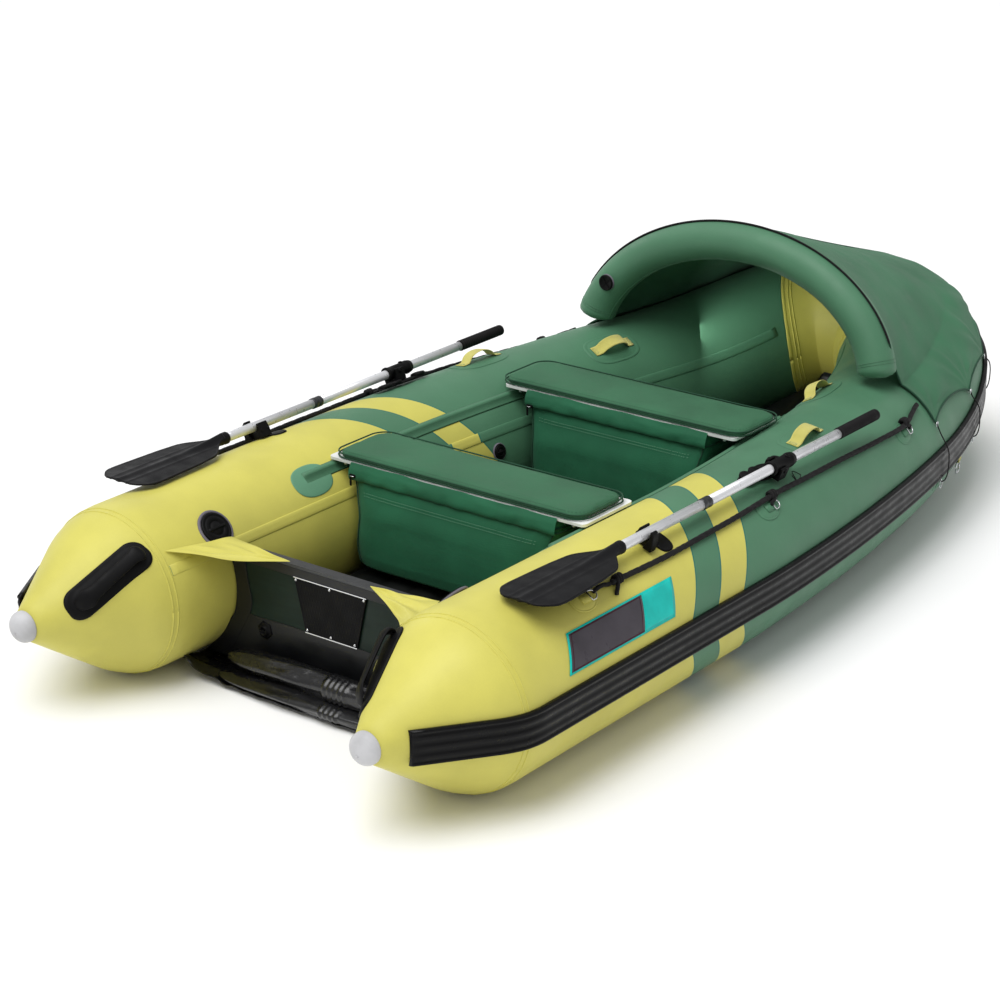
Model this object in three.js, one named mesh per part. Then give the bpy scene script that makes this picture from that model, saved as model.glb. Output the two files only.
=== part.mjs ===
// Inflatable rowing and motor dinghy, 3.5 m long, with two oars, two bench seats and a bow spray cover.
// Millimetres, +X starboard, +Y towards the bow, +Z up. The origin is below the middle of the boat, on the
// ground that its tubes rest on. Every part is laid out by its station, the distance forward of the stern.
import * as THREE from "three";

// Hull
const LENGTH = 3500; // stern cap tips to the outside of the bow tube
const TUBE_R = 236; // inflated radius of the buoyancy tubes, across the flats of the faceted section
const TUBE_SIDES = 24;
const TUBE_X = 580; // centre plane to tube centreline along the parallel run
const CONE_END = 340; // station where the straight stern cones would meet the parallel tubes
const CONE_SHOULDER = 70; // reach of the soft shoulder to either side of that corner
const CONE_LIFT = 12; // rise of the cone's axis at its cap
const BOW_START = 1400; // station where the tubes start to curve in
const BOW_POWER_X = 2.7; // exponents of the bow's superellipse plan
const BOW_POWER_Y = 1.52;
const SHEER_START = 2500; // station where the bow starts to lift
const SHEER_RISE = 132;
const SHEER_POWER = 2.5;
const BOW_SEAM = 3065; // station of the mitre seams between side tubes and bow tube
const CAP_R = 42; // plastic caps on the stern cones
const CAP_LENGTH = 38;
const STRAKE_START = 96;
const STRAKE_HALF = 46; // half the height of the rubbing strake
const STRAKE_PROUD = 12;
const STRAKE_BACK = 2.4; // the strake's back clears the corners of the faceted tube
const GAP = 0.4; // clearance between neighbouring pieces

// Floor and transom
const BOTTOM_AFT = 450; // station of the hull skin's after edge
const SKIN_LOW = 8;
const SKIN_HIGH = 14;
const FLOOR_LOW = 16;
const FLOOR_TOP = 120;
const TRANSOM_Y = 576; // outer face
const TRANSOM_T = 24;
const TRANSOM_TOP = 350;
const PAD_T = 6;

// Seats
const PLANK_T = 8;
const PLANK_W = 226;
const CUSHION_W = 220;
const CUSHION_T = 17;
const AFT_SEAT = { y: 1191, z: 433, half: 445, cushion: 434, bagTop: 362, bagAft: 336, bagFore: 336 };
const FORE_SEAT = { y: 1960, z: 445, half: 414, cushion: 434, bagTop: 326, bagAft: 308, bagFore: 278 };
const BAG_BOTTOM = 135;
const BAG_DEPTH = 250; // under the plank
const BAG_BULGE = 22; // how far the filled bag stands out past that, fore and aft
const RAIL_ANGLE = 131;

// Oars, stowed along the tubes with their blades aft
const OAR_X = 680;
const OAR_Z = 492;
const ROWLOCK_Y = 1645;
const PIN_LEAN = 21; // degrees that the rowlock pin leans outboard, square to the tube under it
const SHAFT_R = 14;
const SLEEVE_R = 20;
const KEEPER_Y = 1040;

// Arch and spray cover
const ARCH_R = 59;
const ARCH_HALF = 522;
const ARCH_BASE_Z = 445;
const ARCH_RISE = 364;
const ARCH_FOOT_Y = 2453;
const ARCH_TOP_Y = 2523;
const ARCH_FOOT = 0.132; // radians of the ellipse that the feet stop short of its ends
const ARCH_STEPS = 22;
const COVER_FOOT = 0.35; // the same for the cover's after corners
const COVER_AFT = 0.745; // bow parameter where the cover's hem starts on the side tube
const COVER_T = 5;

const DEG = Math.PI / 180;
const TUBE_VERTEX_R = TUBE_R / Math.cos(Math.PI / TUBE_SIDES);
const BOW_Y = LENGTH - TUBE_R; // station of the bow tube's centreline
const MIDSHIP = (LENGTH + STRAKE_PROUD) / 2;
const SIDES = [["starboard", 1], ["port", -1]];

const vec = (x, y, z) => new THREE.Vector3(x, y, z);
const flat = (x, y) => new THREE.Vector2(x, y);
const mix = THREE.MathUtils.lerp;
const range = (n) => Array.from({ length: n }, (_, i) => i);
const paint = (color, roughness, metalness = 0) =>
  new THREE.MeshStandardMaterial({ color, roughness, metalness });

const green = paint(0x4f8a68, 0.55);
const darkGreen = paint(0x24573f, 0.75);
const yellow = paint(0xd9d472, 0.55);
const black = paint(0x26272a, 0.6);
const rubber = paint(0x151617, 0.5);
const white = paint(0xe4e5e3, 0.45);
const alloy = paint(0xc4c6c8, 0.3, 0.9);
const steel = paint(0xd0d2d4, 0.2, 1);
const transomPaint = paint(0x18261f, 0.5);
const rope = paint(0x1c1c1e, 0.85);

// ---- solids ----

// A closed solid from shared vertices and triangles, with its faces turned outwards.
function solid(points, triangles) {
  const geometry = new THREE.BufferGeometry().setFromPoints(points);
  const volume = triangles.reduce((sum, [a, b, c]) =>
    sum + points[a].dot(points[b].clone().cross(points[c])), 0);
  const turned = volume < 0 ? triangles.map(([a, b, c]) => [a, c, b]) : triangles;
  geometry.setIndex(turned.flat());
  geometry.computeVertexNormals();
  return geometry;
}

// A closed solid through rings of points, with both ends filled by triangulating an outline of the ring.
function loft(rings, outline) {
  const n = rings[0].length;
  const triangles = [];
  for (let k = 0; k + 1 < rings.length; k++) {
    for (const i of range(n)) {
      const j = (i + 1) % n;
      const [a, b, c, d] = [k * n + i, k * n + j, (k + 1) * n + j, (k + 1) * n + i];
      triangles.push([a, b, c], [a, c, d]);
    }
  }
  const last = (rings.length - 1) * n;
  const turned = THREE.ShapeUtils.isClockWise(outline);
  for (const face of THREE.ShapeUtils.triangulateShape(outline, [])) {
    const [a, b, c] = turned ? face.reverse() : face;
    triangles.push([a, c, b], [last + a, last + b, last + c]);
  }
  return solid(rings.flat(), triangles);
}

// A flat profile carried along frames of origin o and axes u and v.
function sweep(profile, frames) {
  const ring = ({ o, u, v }) =>
    profile.map((p) => o.clone().addScaledVector(u, p.x).addScaledVector(v, p.y));
  return loft(frames.map(ring), profile);
}

// A sheet of even thickness from a grid of points and normals.
function sheet(rows, normals, thickness) {
  const width = rows[0].length;
  const count = rows.length * width;
  const low = rows.flat();
  const high = low.map((p, i) => p.clone().addScaledVector(normals.flat()[i], thickness));
  const at = (r, c) => r * width + c;
  const triangles = [];
  const quad = (a, b, c, d) => triangles.push([a, b, c], [a, c, d]);
  for (let r = 0; r + 1 < rows.length; r++) {
    for (let c = 0; c + 1 < width; c++) {
      quad(at(r, c), at(r, c + 1), at(r + 1, c + 1), at(r + 1, c));
      quad(count + at(r, c), count + at(r + 1, c), count + at(r + 1, c + 1), count + at(r, c + 1));
    }
  }
  const rim = [
    ...range(width - 1).map((c) => [at(0, c), at(0, c + 1)]),
    ...range(rows.length - 1).map((r) => [at(r, width - 1), at(r + 1, width - 1)]),
    ...range(width - 1).map((c) => [at(rows.length - 1, c + 1), at(rows.length - 1, c)]),
    ...range(rows.length - 1).map((r) => [at(r + 1, 0), at(r, 0)]),
  ];
  for (const [a, b] of rim) {
    quad(a, count + a, count + b, b);
  }
  return solid([...low, ...high], triangles);
}

const circle = (r, sides, turn = 0) => range(sides).map((i) => {
  const a = turn + (i / sides) * 2 * Math.PI;
  return flat(r * Math.cos(a), r * Math.sin(a));
});

// A rounded rectangle, wide along the first axis.
function roundedBox(width, height, r) {
  const [x, y] = [width / 2 - r, height / 2 - r];
  const shape = new THREE.Shape();
  shape.absarc(x, y, r, 0, 90 * DEG);
  shape.absarc(-x, y, r, 90 * DEG, 180 * DEG);
  shape.absarc(-x, -y, r, 180 * DEG, 270 * DEG);
  shape.absarc(x, -y, r, 270 * DEG, 360 * DEG);
  shape.closePath();
  return shape;
}

const extrude = (shape, depth, curveSegments = 4) =>
  new THREE.ExtrudeGeometry(shape, { depth, curveSegments, bevelEnabled: false });

// An extrusion whose outline lies in the X-Z plane, running from y0 towards the bow.
function frontExtrude(shape, y0, depth, curveSegments) {
  return extrude(shape, depth, curveSegments).rotateX(90 * DEG).translate(0, y0 + depth, 0);
}

const polygon = (points) => new THREE.Shape(points.map(([x, y]) => flat(x, y)));

function named(name, geometry, material) {
  const mesh = new THREE.Mesh(geometry, material);
  mesh.name = name;
  return mesh;
}

// ---- the hull's centreline ----

// A point of the starboard centreline: 0 at the start of the bow curve, a right angle at the stem and
// past it on the port side. Below 0 the run is straight.
function bowPoint(t) {
  const c = Math.cos(t);
  const s = Math.sin(t);
  const y = BOW_START + (BOW_Y - BOW_START) * Math.sign(s) * Math.abs(s) ** (2 / BOW_POWER_Y);
  const x = t < 0 ? TUBE_X : TUBE_X * Math.sign(c) * Math.abs(c) ** (2 / BOW_POWER_X);
  const lift = Math.max(0, (y - SHEER_START) / (BOW_Y - SHEER_START)) ** SHEER_POWER;
  return vec(x, y, TUBE_R + SHEER_RISE * lift);
}

function bowFrame(t) {
  const centre = bowPoint(t);
  const along = bowPoint(t + 0.01).sub(bowPoint(t - 0.01)).normalize();
  const out = vec(along.y, -along.x, 0).normalize();
  const up = out.clone().cross(along).normalize();
  return { centre, along, out, up, r: TUBE_R };
}

const bowParameter = (y) => Math.asin(((y - BOW_START) / (BOW_Y - BOW_START)) ** (BOW_POWER_Y / 2));
const SEAM = bowParameter(BOW_SEAM);

// The stations that every piece following the hull shares, so that their facets lie along each other.
const STERN_STEPS = [
  CAP_LENGTH + GAP, STRAKE_START, 190, CONE_END - CONE_SHOULDER, CONE_END - 25, CONE_END + 20,
  CONE_END + CONE_SHOULDER, 700, 1050,
];
const SIDE_STEPS = range(14).map((i) => (SEAM * i) / 13);
const STEM_STEPS = range(11).map((i) => mix(SEAM, Math.PI - SEAM, i / 10));

// The radius of the stern cone: a straight taper that eases into the parallel tube over its shoulder.
const CONE_SLOPE = (TUBE_R - CAP_R) / (CONE_END - CAP_LENGTH);
function coneRadius(y) {
  const past = Math.max(0, y - CONE_END + CONE_SHOULDER);
  return CAP_R + CONE_SLOPE * (y - CAP_LENGTH - past ** 2 / (4 * CONE_SHOULDER));
}

const coneCentre = (y) =>
  vec(TUBE_X, y, TUBE_R + CONE_LIFT * Math.max(0, 1 - (y - CAP_LENGTH) / (CONE_END - CAP_LENGTH)));

function hullFrame(y) {
  if (y > BOW_START) {
    return bowFrame(bowParameter(y));
  }
  const r = y < CONE_END + CONE_SHOULDER ? coneRadius(y) : TUBE_R;
  return { centre: coneCentre(y), along: vec(0, 1, 0), out: vec(1, 0, 0), up: vec(0, 0, 1), r };
}

// The direction out of the tube at an angle up from the outboard horizontal.
function radial(frame, degrees) {
  const a = degrees * DEG;
  return frame.out.clone().multiplyScalar(Math.cos(a)).addScaledVector(frame.up, Math.sin(a));
}

const onFrame = (frame, degrees, lift) =>
  frame.centre.clone().addScaledVector(radial(frame, degrees), frame.r + lift);

// A group on the tube's skin: its X runs outboard and down, Y towards the bow and Z out of the tube.
function perch(y, degrees, lift, ...meshes) {
  const frame = hullFrame(y);
  const normal = radial(frame, degrees);
  const across = frame.along.clone().cross(normal);
  const group = new THREE.Group();
  group.applyMatrix4(new THREE.Matrix4().makeBasis(across, frame.along, normal));
  group.position.copy(onFrame(frame, degrees, lift));
  group.add(...meshes);
  return group;
}

// ---- hull ----

const tubeProfile = circle(1 / Math.cos(Math.PI / TUBE_SIDES), TUBE_SIDES, Math.PI / TUBE_SIDES);

function tubeGeometry(frames) {
  return sweep(tubeProfile, frames.map(({ centre, out, up, r }) => ({
    o: centre,
    u: out.clone().multiplyScalar(r),
    v: up.clone().multiplyScalar(r),
  })));
}

function sideTube(side) {
  const frames = [...STERN_STEPS.map(hullFrame), ...SIDE_STEPS.map(bowFrame)];
  return named(`${side}_tube`, tubeGeometry(frames), green);
}

function bowTube() {
  const start = bowParameter(BOW_SEAM + GAP);
  const steps = [start, ...STEM_STEPS.slice(1, -1), Math.PI - start];
  return named("bow_tube", tubeGeometry(steps.map(bowFrame)), yellow);
}

function coneCap(side) {
  const reach = CAP_LENGTH - 8;
  const dome = range(4).map((i) => {
    const a = i * 22.5 * DEG;
    return flat(CAP_R * Math.cos(a), -reach * Math.sin(a));
  });
  const profile = [flat(0, 8), flat(CAP_R, 8), ...dome, flat(0, -reach)];
  const cap = named(`${side}_cone_cap`, new THREE.LatheGeometry(profile.reverse(), 20), white);
  cap.position.set(TUBE_X, reach, TUBE_R + CONE_LIFT);
  return cap;
}

// The strake runs from cone to cone round the bow, with its back laid on the tube.
function rubbingStrake() {
  const profile = [
    flat(0.6, 0), flat(-0.2, 30), flat(-3.5, STRAKE_HALF), flat(STRAKE_PROUD - 3, STRAKE_HALF - 3),
    flat(STRAKE_PROUD, STRAKE_HALF - 14), flat(STRAKE_PROUD, 14 - STRAKE_HALF),
    flat(STRAKE_PROUD - 3, 3 - STRAKE_HALF), flat(-3.5, -STRAKE_HALF), flat(-0.2, -30),
  ];
  const half = [
    ...STERN_STEPS.slice(1).map(hullFrame),
    ...[...SIDE_STEPS, ...STEM_STEPS.slice(1, 5)].map(bowFrame),
  ];
  const frames = half.map(({ centre, out, up, r }) =>
    ({ o: centre.addScaledVector(out, r + STRAKE_BACK), u: out, v: up }));
  const across = ({ o, u, v }) => ({
    o: vec(-o.x, o.y, o.z),
    u: vec(-u.x, u.y, u.z),
    v: vec(-v.x, v.y, v.z),
  });
  const stem = bowFrame(90 * DEG);
  const middle = { o: stem.centre.addScaledVector(stem.out, TUBE_R + STRAKE_BACK), u: stem.out, v: stem.up };
  const round = [...frames, middle, ...frames.map(across).reverse()];
  return named("rubbing_strake", sweep(profile, round), rubber);
}

// A slab between the tubes: each edge keeps its own distance inboard of the centreline.
function slab(start, low, high, lowInset, highInset) {
  const corner = ({ centre, out, up }, inset, height) =>
    centre.clone().addScaledVector(out, -inset).addScaledVector(up, height - TUBE_R);
  const frames = [hullFrame(start), ...[...SIDE_STEPS, ...STEM_STEPS.slice(1, 5)].map(bowFrame)]
    .filter((frame) => corner(frame, highInset, high).x > 40);
  const rings = frames.map((frame) => {
    const [a, b] = [corner(frame, lowInset, low), corner(frame, highInset, high)];
    return [a, b, vec(-b.x, b.y, b.z), vec(-a.x, a.y, a.z)];
  });
  return loft(rings, [flat(1, 0), flat(1, 1), flat(-1, 1), flat(-1, 0)]);
}

const hullBottom = () => named("hull_bottom", slab(BOTTOM_AFT, SKIN_LOW, SKIN_HIGH, 92, 92), rubber);

function inflatableFloor() {
  const start = TRANSOM_Y + TRANSOM_T + PAD_T + 2;
  return named("inflatable_floor", slab(start, FLOOR_LOW, FLOOR_TOP, 152, 213), black);
}

// The floor's after end, rolled up behind the transom.
function keelRoll() {
  const roll = named("keel_roll", new THREE.CapsuleGeometry(46, 508, 4, 16), rubber);
  roll.rotation.z = 90 * DEG;
  roll.position.set(0, 512, 64);
  return roll;
}

// ---- transom ----

// The width left between the tubes at a height, less a margin.
const between = (z, margin) =>
  TUBE_X - Math.sqrt(TUBE_VERTEX_R ** 2 - (TUBE_R - z) ** 2) - margin;

function transomBoard() {
  const heights = range(10).map((i) => mix(24, TRANSOM_TOP, i / 9));
  const right = heights.map((z) => [between(z, 6), z]);
  const left = right.map(([x, z]) => [-x, z]).reverse();
  const board = frontExtrude(polygon([...right, ...left]), TRANSOM_Y, TRANSOM_T);
  return named("transom_board", board, transomPaint);
}

function transomCap() {
  const [low, high] = [TRANSOM_TOP - 25, TRANSOM_TOP + 6];
  const [a, b] = [TRANSOM_Y - 4, TRANSOM_Y + TRANSOM_T + 4];
  const channel = polygon([
    [a, low], [a, high], [b, high], [b, low], [b - 4 + GAP, low],
    [b - 4 + GAP, TRANSOM_TOP + GAP], [a + 4 - GAP, TRANSOM_TOP + GAP], [a + 4 - GAP, low],
  ]);
  const half = between(low, 6);
  const geometry = extrude(channel, 2 * half);
  const toRow = new THREE.Matrix4().makeBasis(vec(0, 1, 0), vec(0, 0, 1), vec(1, 0, 0));
  geometry.applyMatrix4(toRow).translate(-half, 0, 0);
  return named("transom_cap", geometry, alloy);
}

function motorPads() {
  const outer = polygon([[-90, 172], [90, 172], [126, 324], [-126, 324]]);
  const inner = polygon([[-110, 180], [110, 180], [110, 322], [-110, 322]]);
  return [
    named("motor_pad_outer", frontExtrude(outer, TRANSOM_Y - PAD_T - GAP, PAD_T), black),
    named("motor_pad_inner", frontExtrude(inner, TRANSOM_Y + TRANSOM_T + GAP, PAD_T), black),
  ];
}

function drainPlug() {
  const plug = named("drain_plug", new THREE.CylinderGeometry(22, 24, 13, 6), rubber);
  plug.position.set(-238, TRANSOM_Y - 7, 138);
  return plug;
}

// A splash flap closes the corner between a tube and the transom.
function splashFlap(side) {
  const corners = [vec(380, 372, 392), vec(380, 566, 394), vec(140, 585, 361)];
  const raised = corners.map((p) => vec(p.x, p.y, p.z + 3));
  return named(`${side}_splash_flap`, loft([corners, raised], [flat(0, 0), flat(0, 1), flat(1, 1)]), yellow);
}

// ---- seats ----

function seatRail(side) {
  const profile = [flat(-17, 0), flat(17, 0), flat(17, 5), flat(-17, 5)];
  const frames = range(13).map((i) => {
    const frame = hullFrame(mix(950, 2180, i / 12));
    const v = radial(frame, RAIL_ANGLE);
    return { o: onFrame(frame, RAIL_ANGLE, 2.6), u: frame.along.clone().cross(v), v };
  });
  return named(`${side}_seat_rail`, sweep(profile, frames), green);
}

function bench(name, { y, z, half, cushion, bagTop, bagAft, bagFore }) {
  const board = roundedBox(2 * half, PLANK_W, 15);
  const plank = named(`${name}_seat_plank`, extrude(board, PLANK_T), white);
  plank.position.set(0, y, z);
  const outline = roundedBox(2 * cushion, CUSHION_W, 50);
  const pad = named(`${name}_seat_cushion`, extrude(outline, CUSHION_T), green);
  pad.position.set(0, y, z + PLANK_T + GAP);
  const slider = named(`${name}_zip_slider`, new THREE.BoxGeometry(24, 7, 12), black);
  slider.position.set(20 - bagTop, y - BAG_DEPTH / 2 - 4, 408);
  return [plank, pad, seatBag(name, y, z - 5, bagTop, bagAft, bagFore), slider];
}

// A filled bag: four-cornered levels that stand out below the plank and draw in between the tubes.
function seatBag(name, y, top, bagTop, bagAft, bagFore) {
  const level = (z, aft, fore, bulge) => {
    const reach = BAG_DEPTH / 2 + bulge;
    const [a, b] = [y - reach, y + reach];
    return [vec(-aft, a, z), vec(aft, a, z), vec(fore, b, z), vec(-fore, b, z)];
  };
  const rings = [
    level(BAG_BOTTOM, bagAft - 8, bagFore - 8, BAG_BULGE - 10),
    level(BAG_BOTTOM + 40, bagAft, bagFore, BAG_BULGE),
    level(310, bagAft, bagFore, BAG_BULGE),
    level(390, bagTop, bagTop, 0),
    level(top, bagTop, bagTop, 0),
  ];
  const bag = loft(rings, [flat(-1, -1), flat(1, -1), flat(1, 1), flat(-1, 1)]);
  return named(`${name}_seat_bag`, bag, darkGreen);
}

// ---- handles, valves and rings ----

// A webbing loop with a flat foot at each end.
function webbingHandle(name, y, degrees) {
  const rise = 27;
  const path = [flat(-82, 0), flat(-58, 0), ...range(9).map((i) => {
    const a = mix(160, 20, i / 8) * DEG;
    return flat(54 * Math.cos(a), rise * Math.sin(a));
  }), flat(58, 0), flat(82, 0)];
  const frames = path.map((p, i) => {
    const before = path[Math.max(0, i - 1)];
    const after = path[Math.min(path.length - 1, i + 1)];
    const d = after.clone().sub(before).normalize();
    return { o: vec(0, p.x, p.y + 1.5), u: vec(1, 0, 0), v: vec(0, -d.y, d.x) };
  });
  const profile = [flat(-14, -1.5), flat(14, -1.5), flat(14, 1.5), flat(-14, 1.5)];
  return perch(y, degrees, 3.4, named(name, sweep(profile, frames), yellow));
}

// A moulded grab handle laid along the cone, with a slot for the fingers.
function coneHandle(side) {
  const plate = roundedBox(66, 224, 30);
  plate.holes.push(roundedBox(26, 136, 12));
  const handle = named(`${side}_cone_handle`, extrude(plate, 24), black);
  const slope = Math.atan(CONE_SLOPE);
  const turned = new THREE.Group();
  turned.add(handle);
  turned.rotation.set(slope, 0, -15 * DEG);
  return perch(225, 139, 9, turned);
}

// A screw cap with grip lobes round its edge.
function valveCap(name, r, height) {
  const lobes = range(24).map((i) => {
    const a = i * 15 * DEG;
    const reach = i % 2 ? r : r * 0.93;
    return [reach * Math.cos(a), reach * Math.sin(a)];
  });
  return named(name, extrude(polygon(lobes), height), black);
}

function archValve() {
  const t = 150 * DEG;
  const cap = valveCap("arch_valve_cap", 22, 7);
  const centre = archPoint(t);
  cap.rotation.x = 90 * DEG;
  cap.position.set(centre.x, centre.y - ARCH_R - 8, centre.z);
  return cap;
}

// A steel D-ring that hangs from its patch under the bow.
function towRing(side) {
  const frame = hullFrame(2850);
  const ring = roundedBox(58, 44, 18);
  ring.holes.push(roundedBox(46, 32, 12));
  const mesh = named(`${side}_tow_ring`, extrude(ring, 6), steel);
  mesh.position.set(0, -22, -3);
  const hang = new THREE.Group();
  const down = vec(0, 0, 1);
  hang.applyMatrix4(new THREE.Matrix4().makeBasis(frame.along.clone().setZ(0).normalize(), down,
    frame.along.clone().setZ(0).normalize().cross(down)));
  hang.position.copy(onFrame(frame, -38, 10));
  hang.add(mesh);
  return hang;
}

// ---- oars ----

// Everything that turns on one rowlock pin, in a group that leans with the pin.
function oar(side) {
  const group = new THREE.Group();
  group.position.set(OAR_X, ROWLOCK_Y, OAR_Z);
  group.rotation.y = PIN_LEAN * DEG;
  const rod = (name, r, from, to, material) => {
    const geometry = new THREE.CylinderGeometry(r, r, to - from, 16);
    return named(`${side}_${name}`, geometry.translate(0, (from + to) / 2, 0), material);
  };
  const cheek = SLEEVE_R + 0.6;
  const yoke = polygon([
    [-cheek - 7, -30.6], [cheek + 7, -30.6], [cheek + 7, 8], [cheek, 8], [cheek, -22],
    [-cheek, -22], [-cheek, 8], [-cheek - 7, 8],
  ]);
  const ring = new THREE.Shape(circle(SLEEVE_R, 20));
  ring.holes.push(new THREE.Path(circle(SHAFT_R + GAP, 20)));
  const blade = polygon([
    [-15, -760], [-30, -792], [-76, -845], [-86, -920], [-94, -1080], [-88, -1122],
    [-58, -1150], [46, -1156], [90, -1118], [94, -1060], [86, -920], [76, -845], [30, -792],
    [15, -760],
  ]);
  group.add(
    named(`${side}_rowlock_yoke`, frontExtrude(yoke, -20, 40), black),
    named(`${side}_oar_sleeve`, frontExtrude(ring, -36, 110), black),
    rod("oar_shaft", SHAFT_R, -760 + GAP, -352, alloy),
    rod("oar_loom", SHAFT_R, -352 + GAP, 318, alloy),
    rod("oar_grip", 17, 318 + GAP, 530, black),
  );
  // The blade lies level, turned back against the lean of the pin.
  const paddle = named(`${side}_oar_blade`, extrude(blade, 8).translate(0, -GAP, -4), black);
  paddle.rotation.y = -PIN_LEAN * DEG;
  group.add(paddle);
  return group;
}

// The rowlock's plate, square to the pin, between the yoke and the tube.
function rowlockBase(side) {
  const group = new THREE.Group();
  group.position.set(OAR_X, ROWLOCK_Y, OAR_Z);
  group.rotation.y = PIN_LEAN * DEG;
  const plate = named(`${side}_rowlock_base`, extrude(roundedBox(56, 230, 26), 5), black);
  plate.position.set(-26, -8, -36);
  group.add(plate);
  return group;
}

// A rest that holds the stowed shaft: high inboard, and open outboard so that the oar can swing out.
function oarKeeper(side) {
  const group = new THREE.Group();
  group.position.set(OAR_X, KEEPER_Y, OAR_Z);
  group.rotation.y = PIN_LEAN * DEG;
  const outline = polygon([
    [-34, -35], [26, -36], [22, -15], [-8, -15], [-15.5, -6], [-17, 12], [-25, 10], [-30, -20],
  ]);
  group.add(named(`${side}_oar_keeper`, frontExtrude(outline, -22, 44), black));
  return group;
}

// ---- arch, cover and ropes ----

function archPoint(t) {
  const z = ARCH_BASE_Z + ARCH_RISE * Math.sin(t);
  const y = mix(ARCH_FOOT_Y, ARCH_TOP_Y, (z - ARCH_BASE_Z) / ARCH_RISE);
  return vec(ARCH_HALF * Math.cos(t), y, z);
}

const archOut = (t) => vec(Math.cos(t) / ARCH_HALF, 0, Math.sin(t) / ARCH_RISE).normalize();

function archTube() {
  const frames = range(ARCH_STEPS + 1).map((i) => {
    const t = mix(ARCH_FOOT, Math.PI - ARCH_FOOT, i / ARCH_STEPS);
    const along = archPoint(t + 0.01).sub(archPoint(t - 0.01)).normalize();
    const u = archOut(t);
    return { o: archPoint(t), u, v: along.cross(u).normalize() };
  });
  return named("arch_tube", sweep(circle(ARCH_R, 14, Math.PI / 14), frames), green);
}

// The cover runs from the arch's crown line down to the tubes and over their outer sides to its hem.
function sprayCover() {
  const rows = [];
  const normals = [];
  for (const k of range(ARCH_STEPS + 1)) {
    const v = k / ARCH_STEPS;
    const t = mix(COVER_FOOT, Math.PI - COVER_FOOT, v);
    const frame = bowFrame(mix(COVER_AFT, Math.PI - COVER_AFT, v));
    const start = archPoint(t).addScaledVector(archOut(t), ARCH_R + 11);
    const land = onFrame(frame, 66, 6);
    const landing = radial(frame, 66);
    const row = range(4).map((i) => start.clone().lerp(land, i / 4));
    const out = range(4).map((i) => archOut(t).lerp(landing, i / 4).normalize());
    for (const degrees of [66, 52, 39, 27]) {
      row.push(onFrame(frame, degrees, 6));
      out.push(radial(frame, degrees));
    }
    rows.push(row);
    normals.push(out);
  }
  return named("spray_cover", sheet(rows, normals, COVER_T), darkGreen);
}

// A round cord on the tube's skin, along frames and angles worked out for each step of its length.
function cord(name, r, sides, frames, angleAt, lift) {
  const stations = frames.map((frame, i) => {
    const degrees = angleAt(i / (frames.length - 1));
    return { o: onFrame(frame, degrees, lift), u: radial(frame, degrees), v: radial(frame, degrees + 90) };
  });
  return named(name, sweep(circle(r, sides), stations), rope);
}

// The lifeline lies along the tube between its rings, from under the cover to its after knot.
function lifeline(side) {
  const route = new THREE.SplineCurve([
    flat(2440, 47), flat(2330, 43), flat(2150, 46), flat(1950, 50), flat(1750, 53),
    flat(1560, 55), flat(1300, 54), flat(1050, 53.5), flat(810, 55),
  ]);
  const points = route.getPoints(26);
  const frames = points.map((p) => hullFrame(p.x));
  return cord(`${side}_lifeline`, 7, 8, frames, (u) => points[Math.round(u * 26)].y, 9.5);
}

function coverCord() {
  const frames = range(41).map((i) => bowFrame(mix(COVER_AFT, Math.PI - COVER_AFT, i / 40)));
  return cord("cover_cord", 3, 6, frames, () => 24, 8.5);
}

// ---- assembly ----

function halfBoat(side) {
  const side_ = (name) => `${side}_${name}`;
  const half = new THREE.Group();
  half.add(
    sideTube(side), coneCap(side), splashFlap(side), seatRail(side), coneHandle(side),
    webbingHandle(side_("aft_handle"), 1938, 80), webbingHandle(side_("bow_handle"), 2375, 118),
    perch(570, 139, 2.6, valveCap(side_("stern_valve_cap"), 50, 7)),
    perch(1737, 167, 2.6, valveCap(side_("side_valve_cap"), 24, 8)),
    rowlockBase(side), oar(side), oarKeeper(side), lifeline(side), towRing(side),
  );
  return half;
}

const boat = new THREE.Group();
boat.position.y = -MIDSHIP;
for (const [side, sign] of SIDES) {
  const half = halfBoat(side);
  half.scale.x = sign;
  boat.add(half);
}
boat.add(
  bowTube(), rubbingStrake(), hullBottom(), inflatableFloor(), keelRoll(),
  transomBoard(), transomCap(), ...motorPads(), drainPlug(),
  ...bench("aft", AFT_SEAT), ...bench("fore", FORE_SEAT),
  archTube(), archValve(), sprayCover(), coverCord(),
);

const dinghy = new THREE.Group();
dinghy.add(boat);
export default dinghy;
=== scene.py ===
"""Inflatable rowing and motor dinghy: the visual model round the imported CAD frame."""

import math

import bmesh
import bpy
import numpy as np
from mathutils import Matrix, Vector
from mathutils.noise import noise


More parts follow.
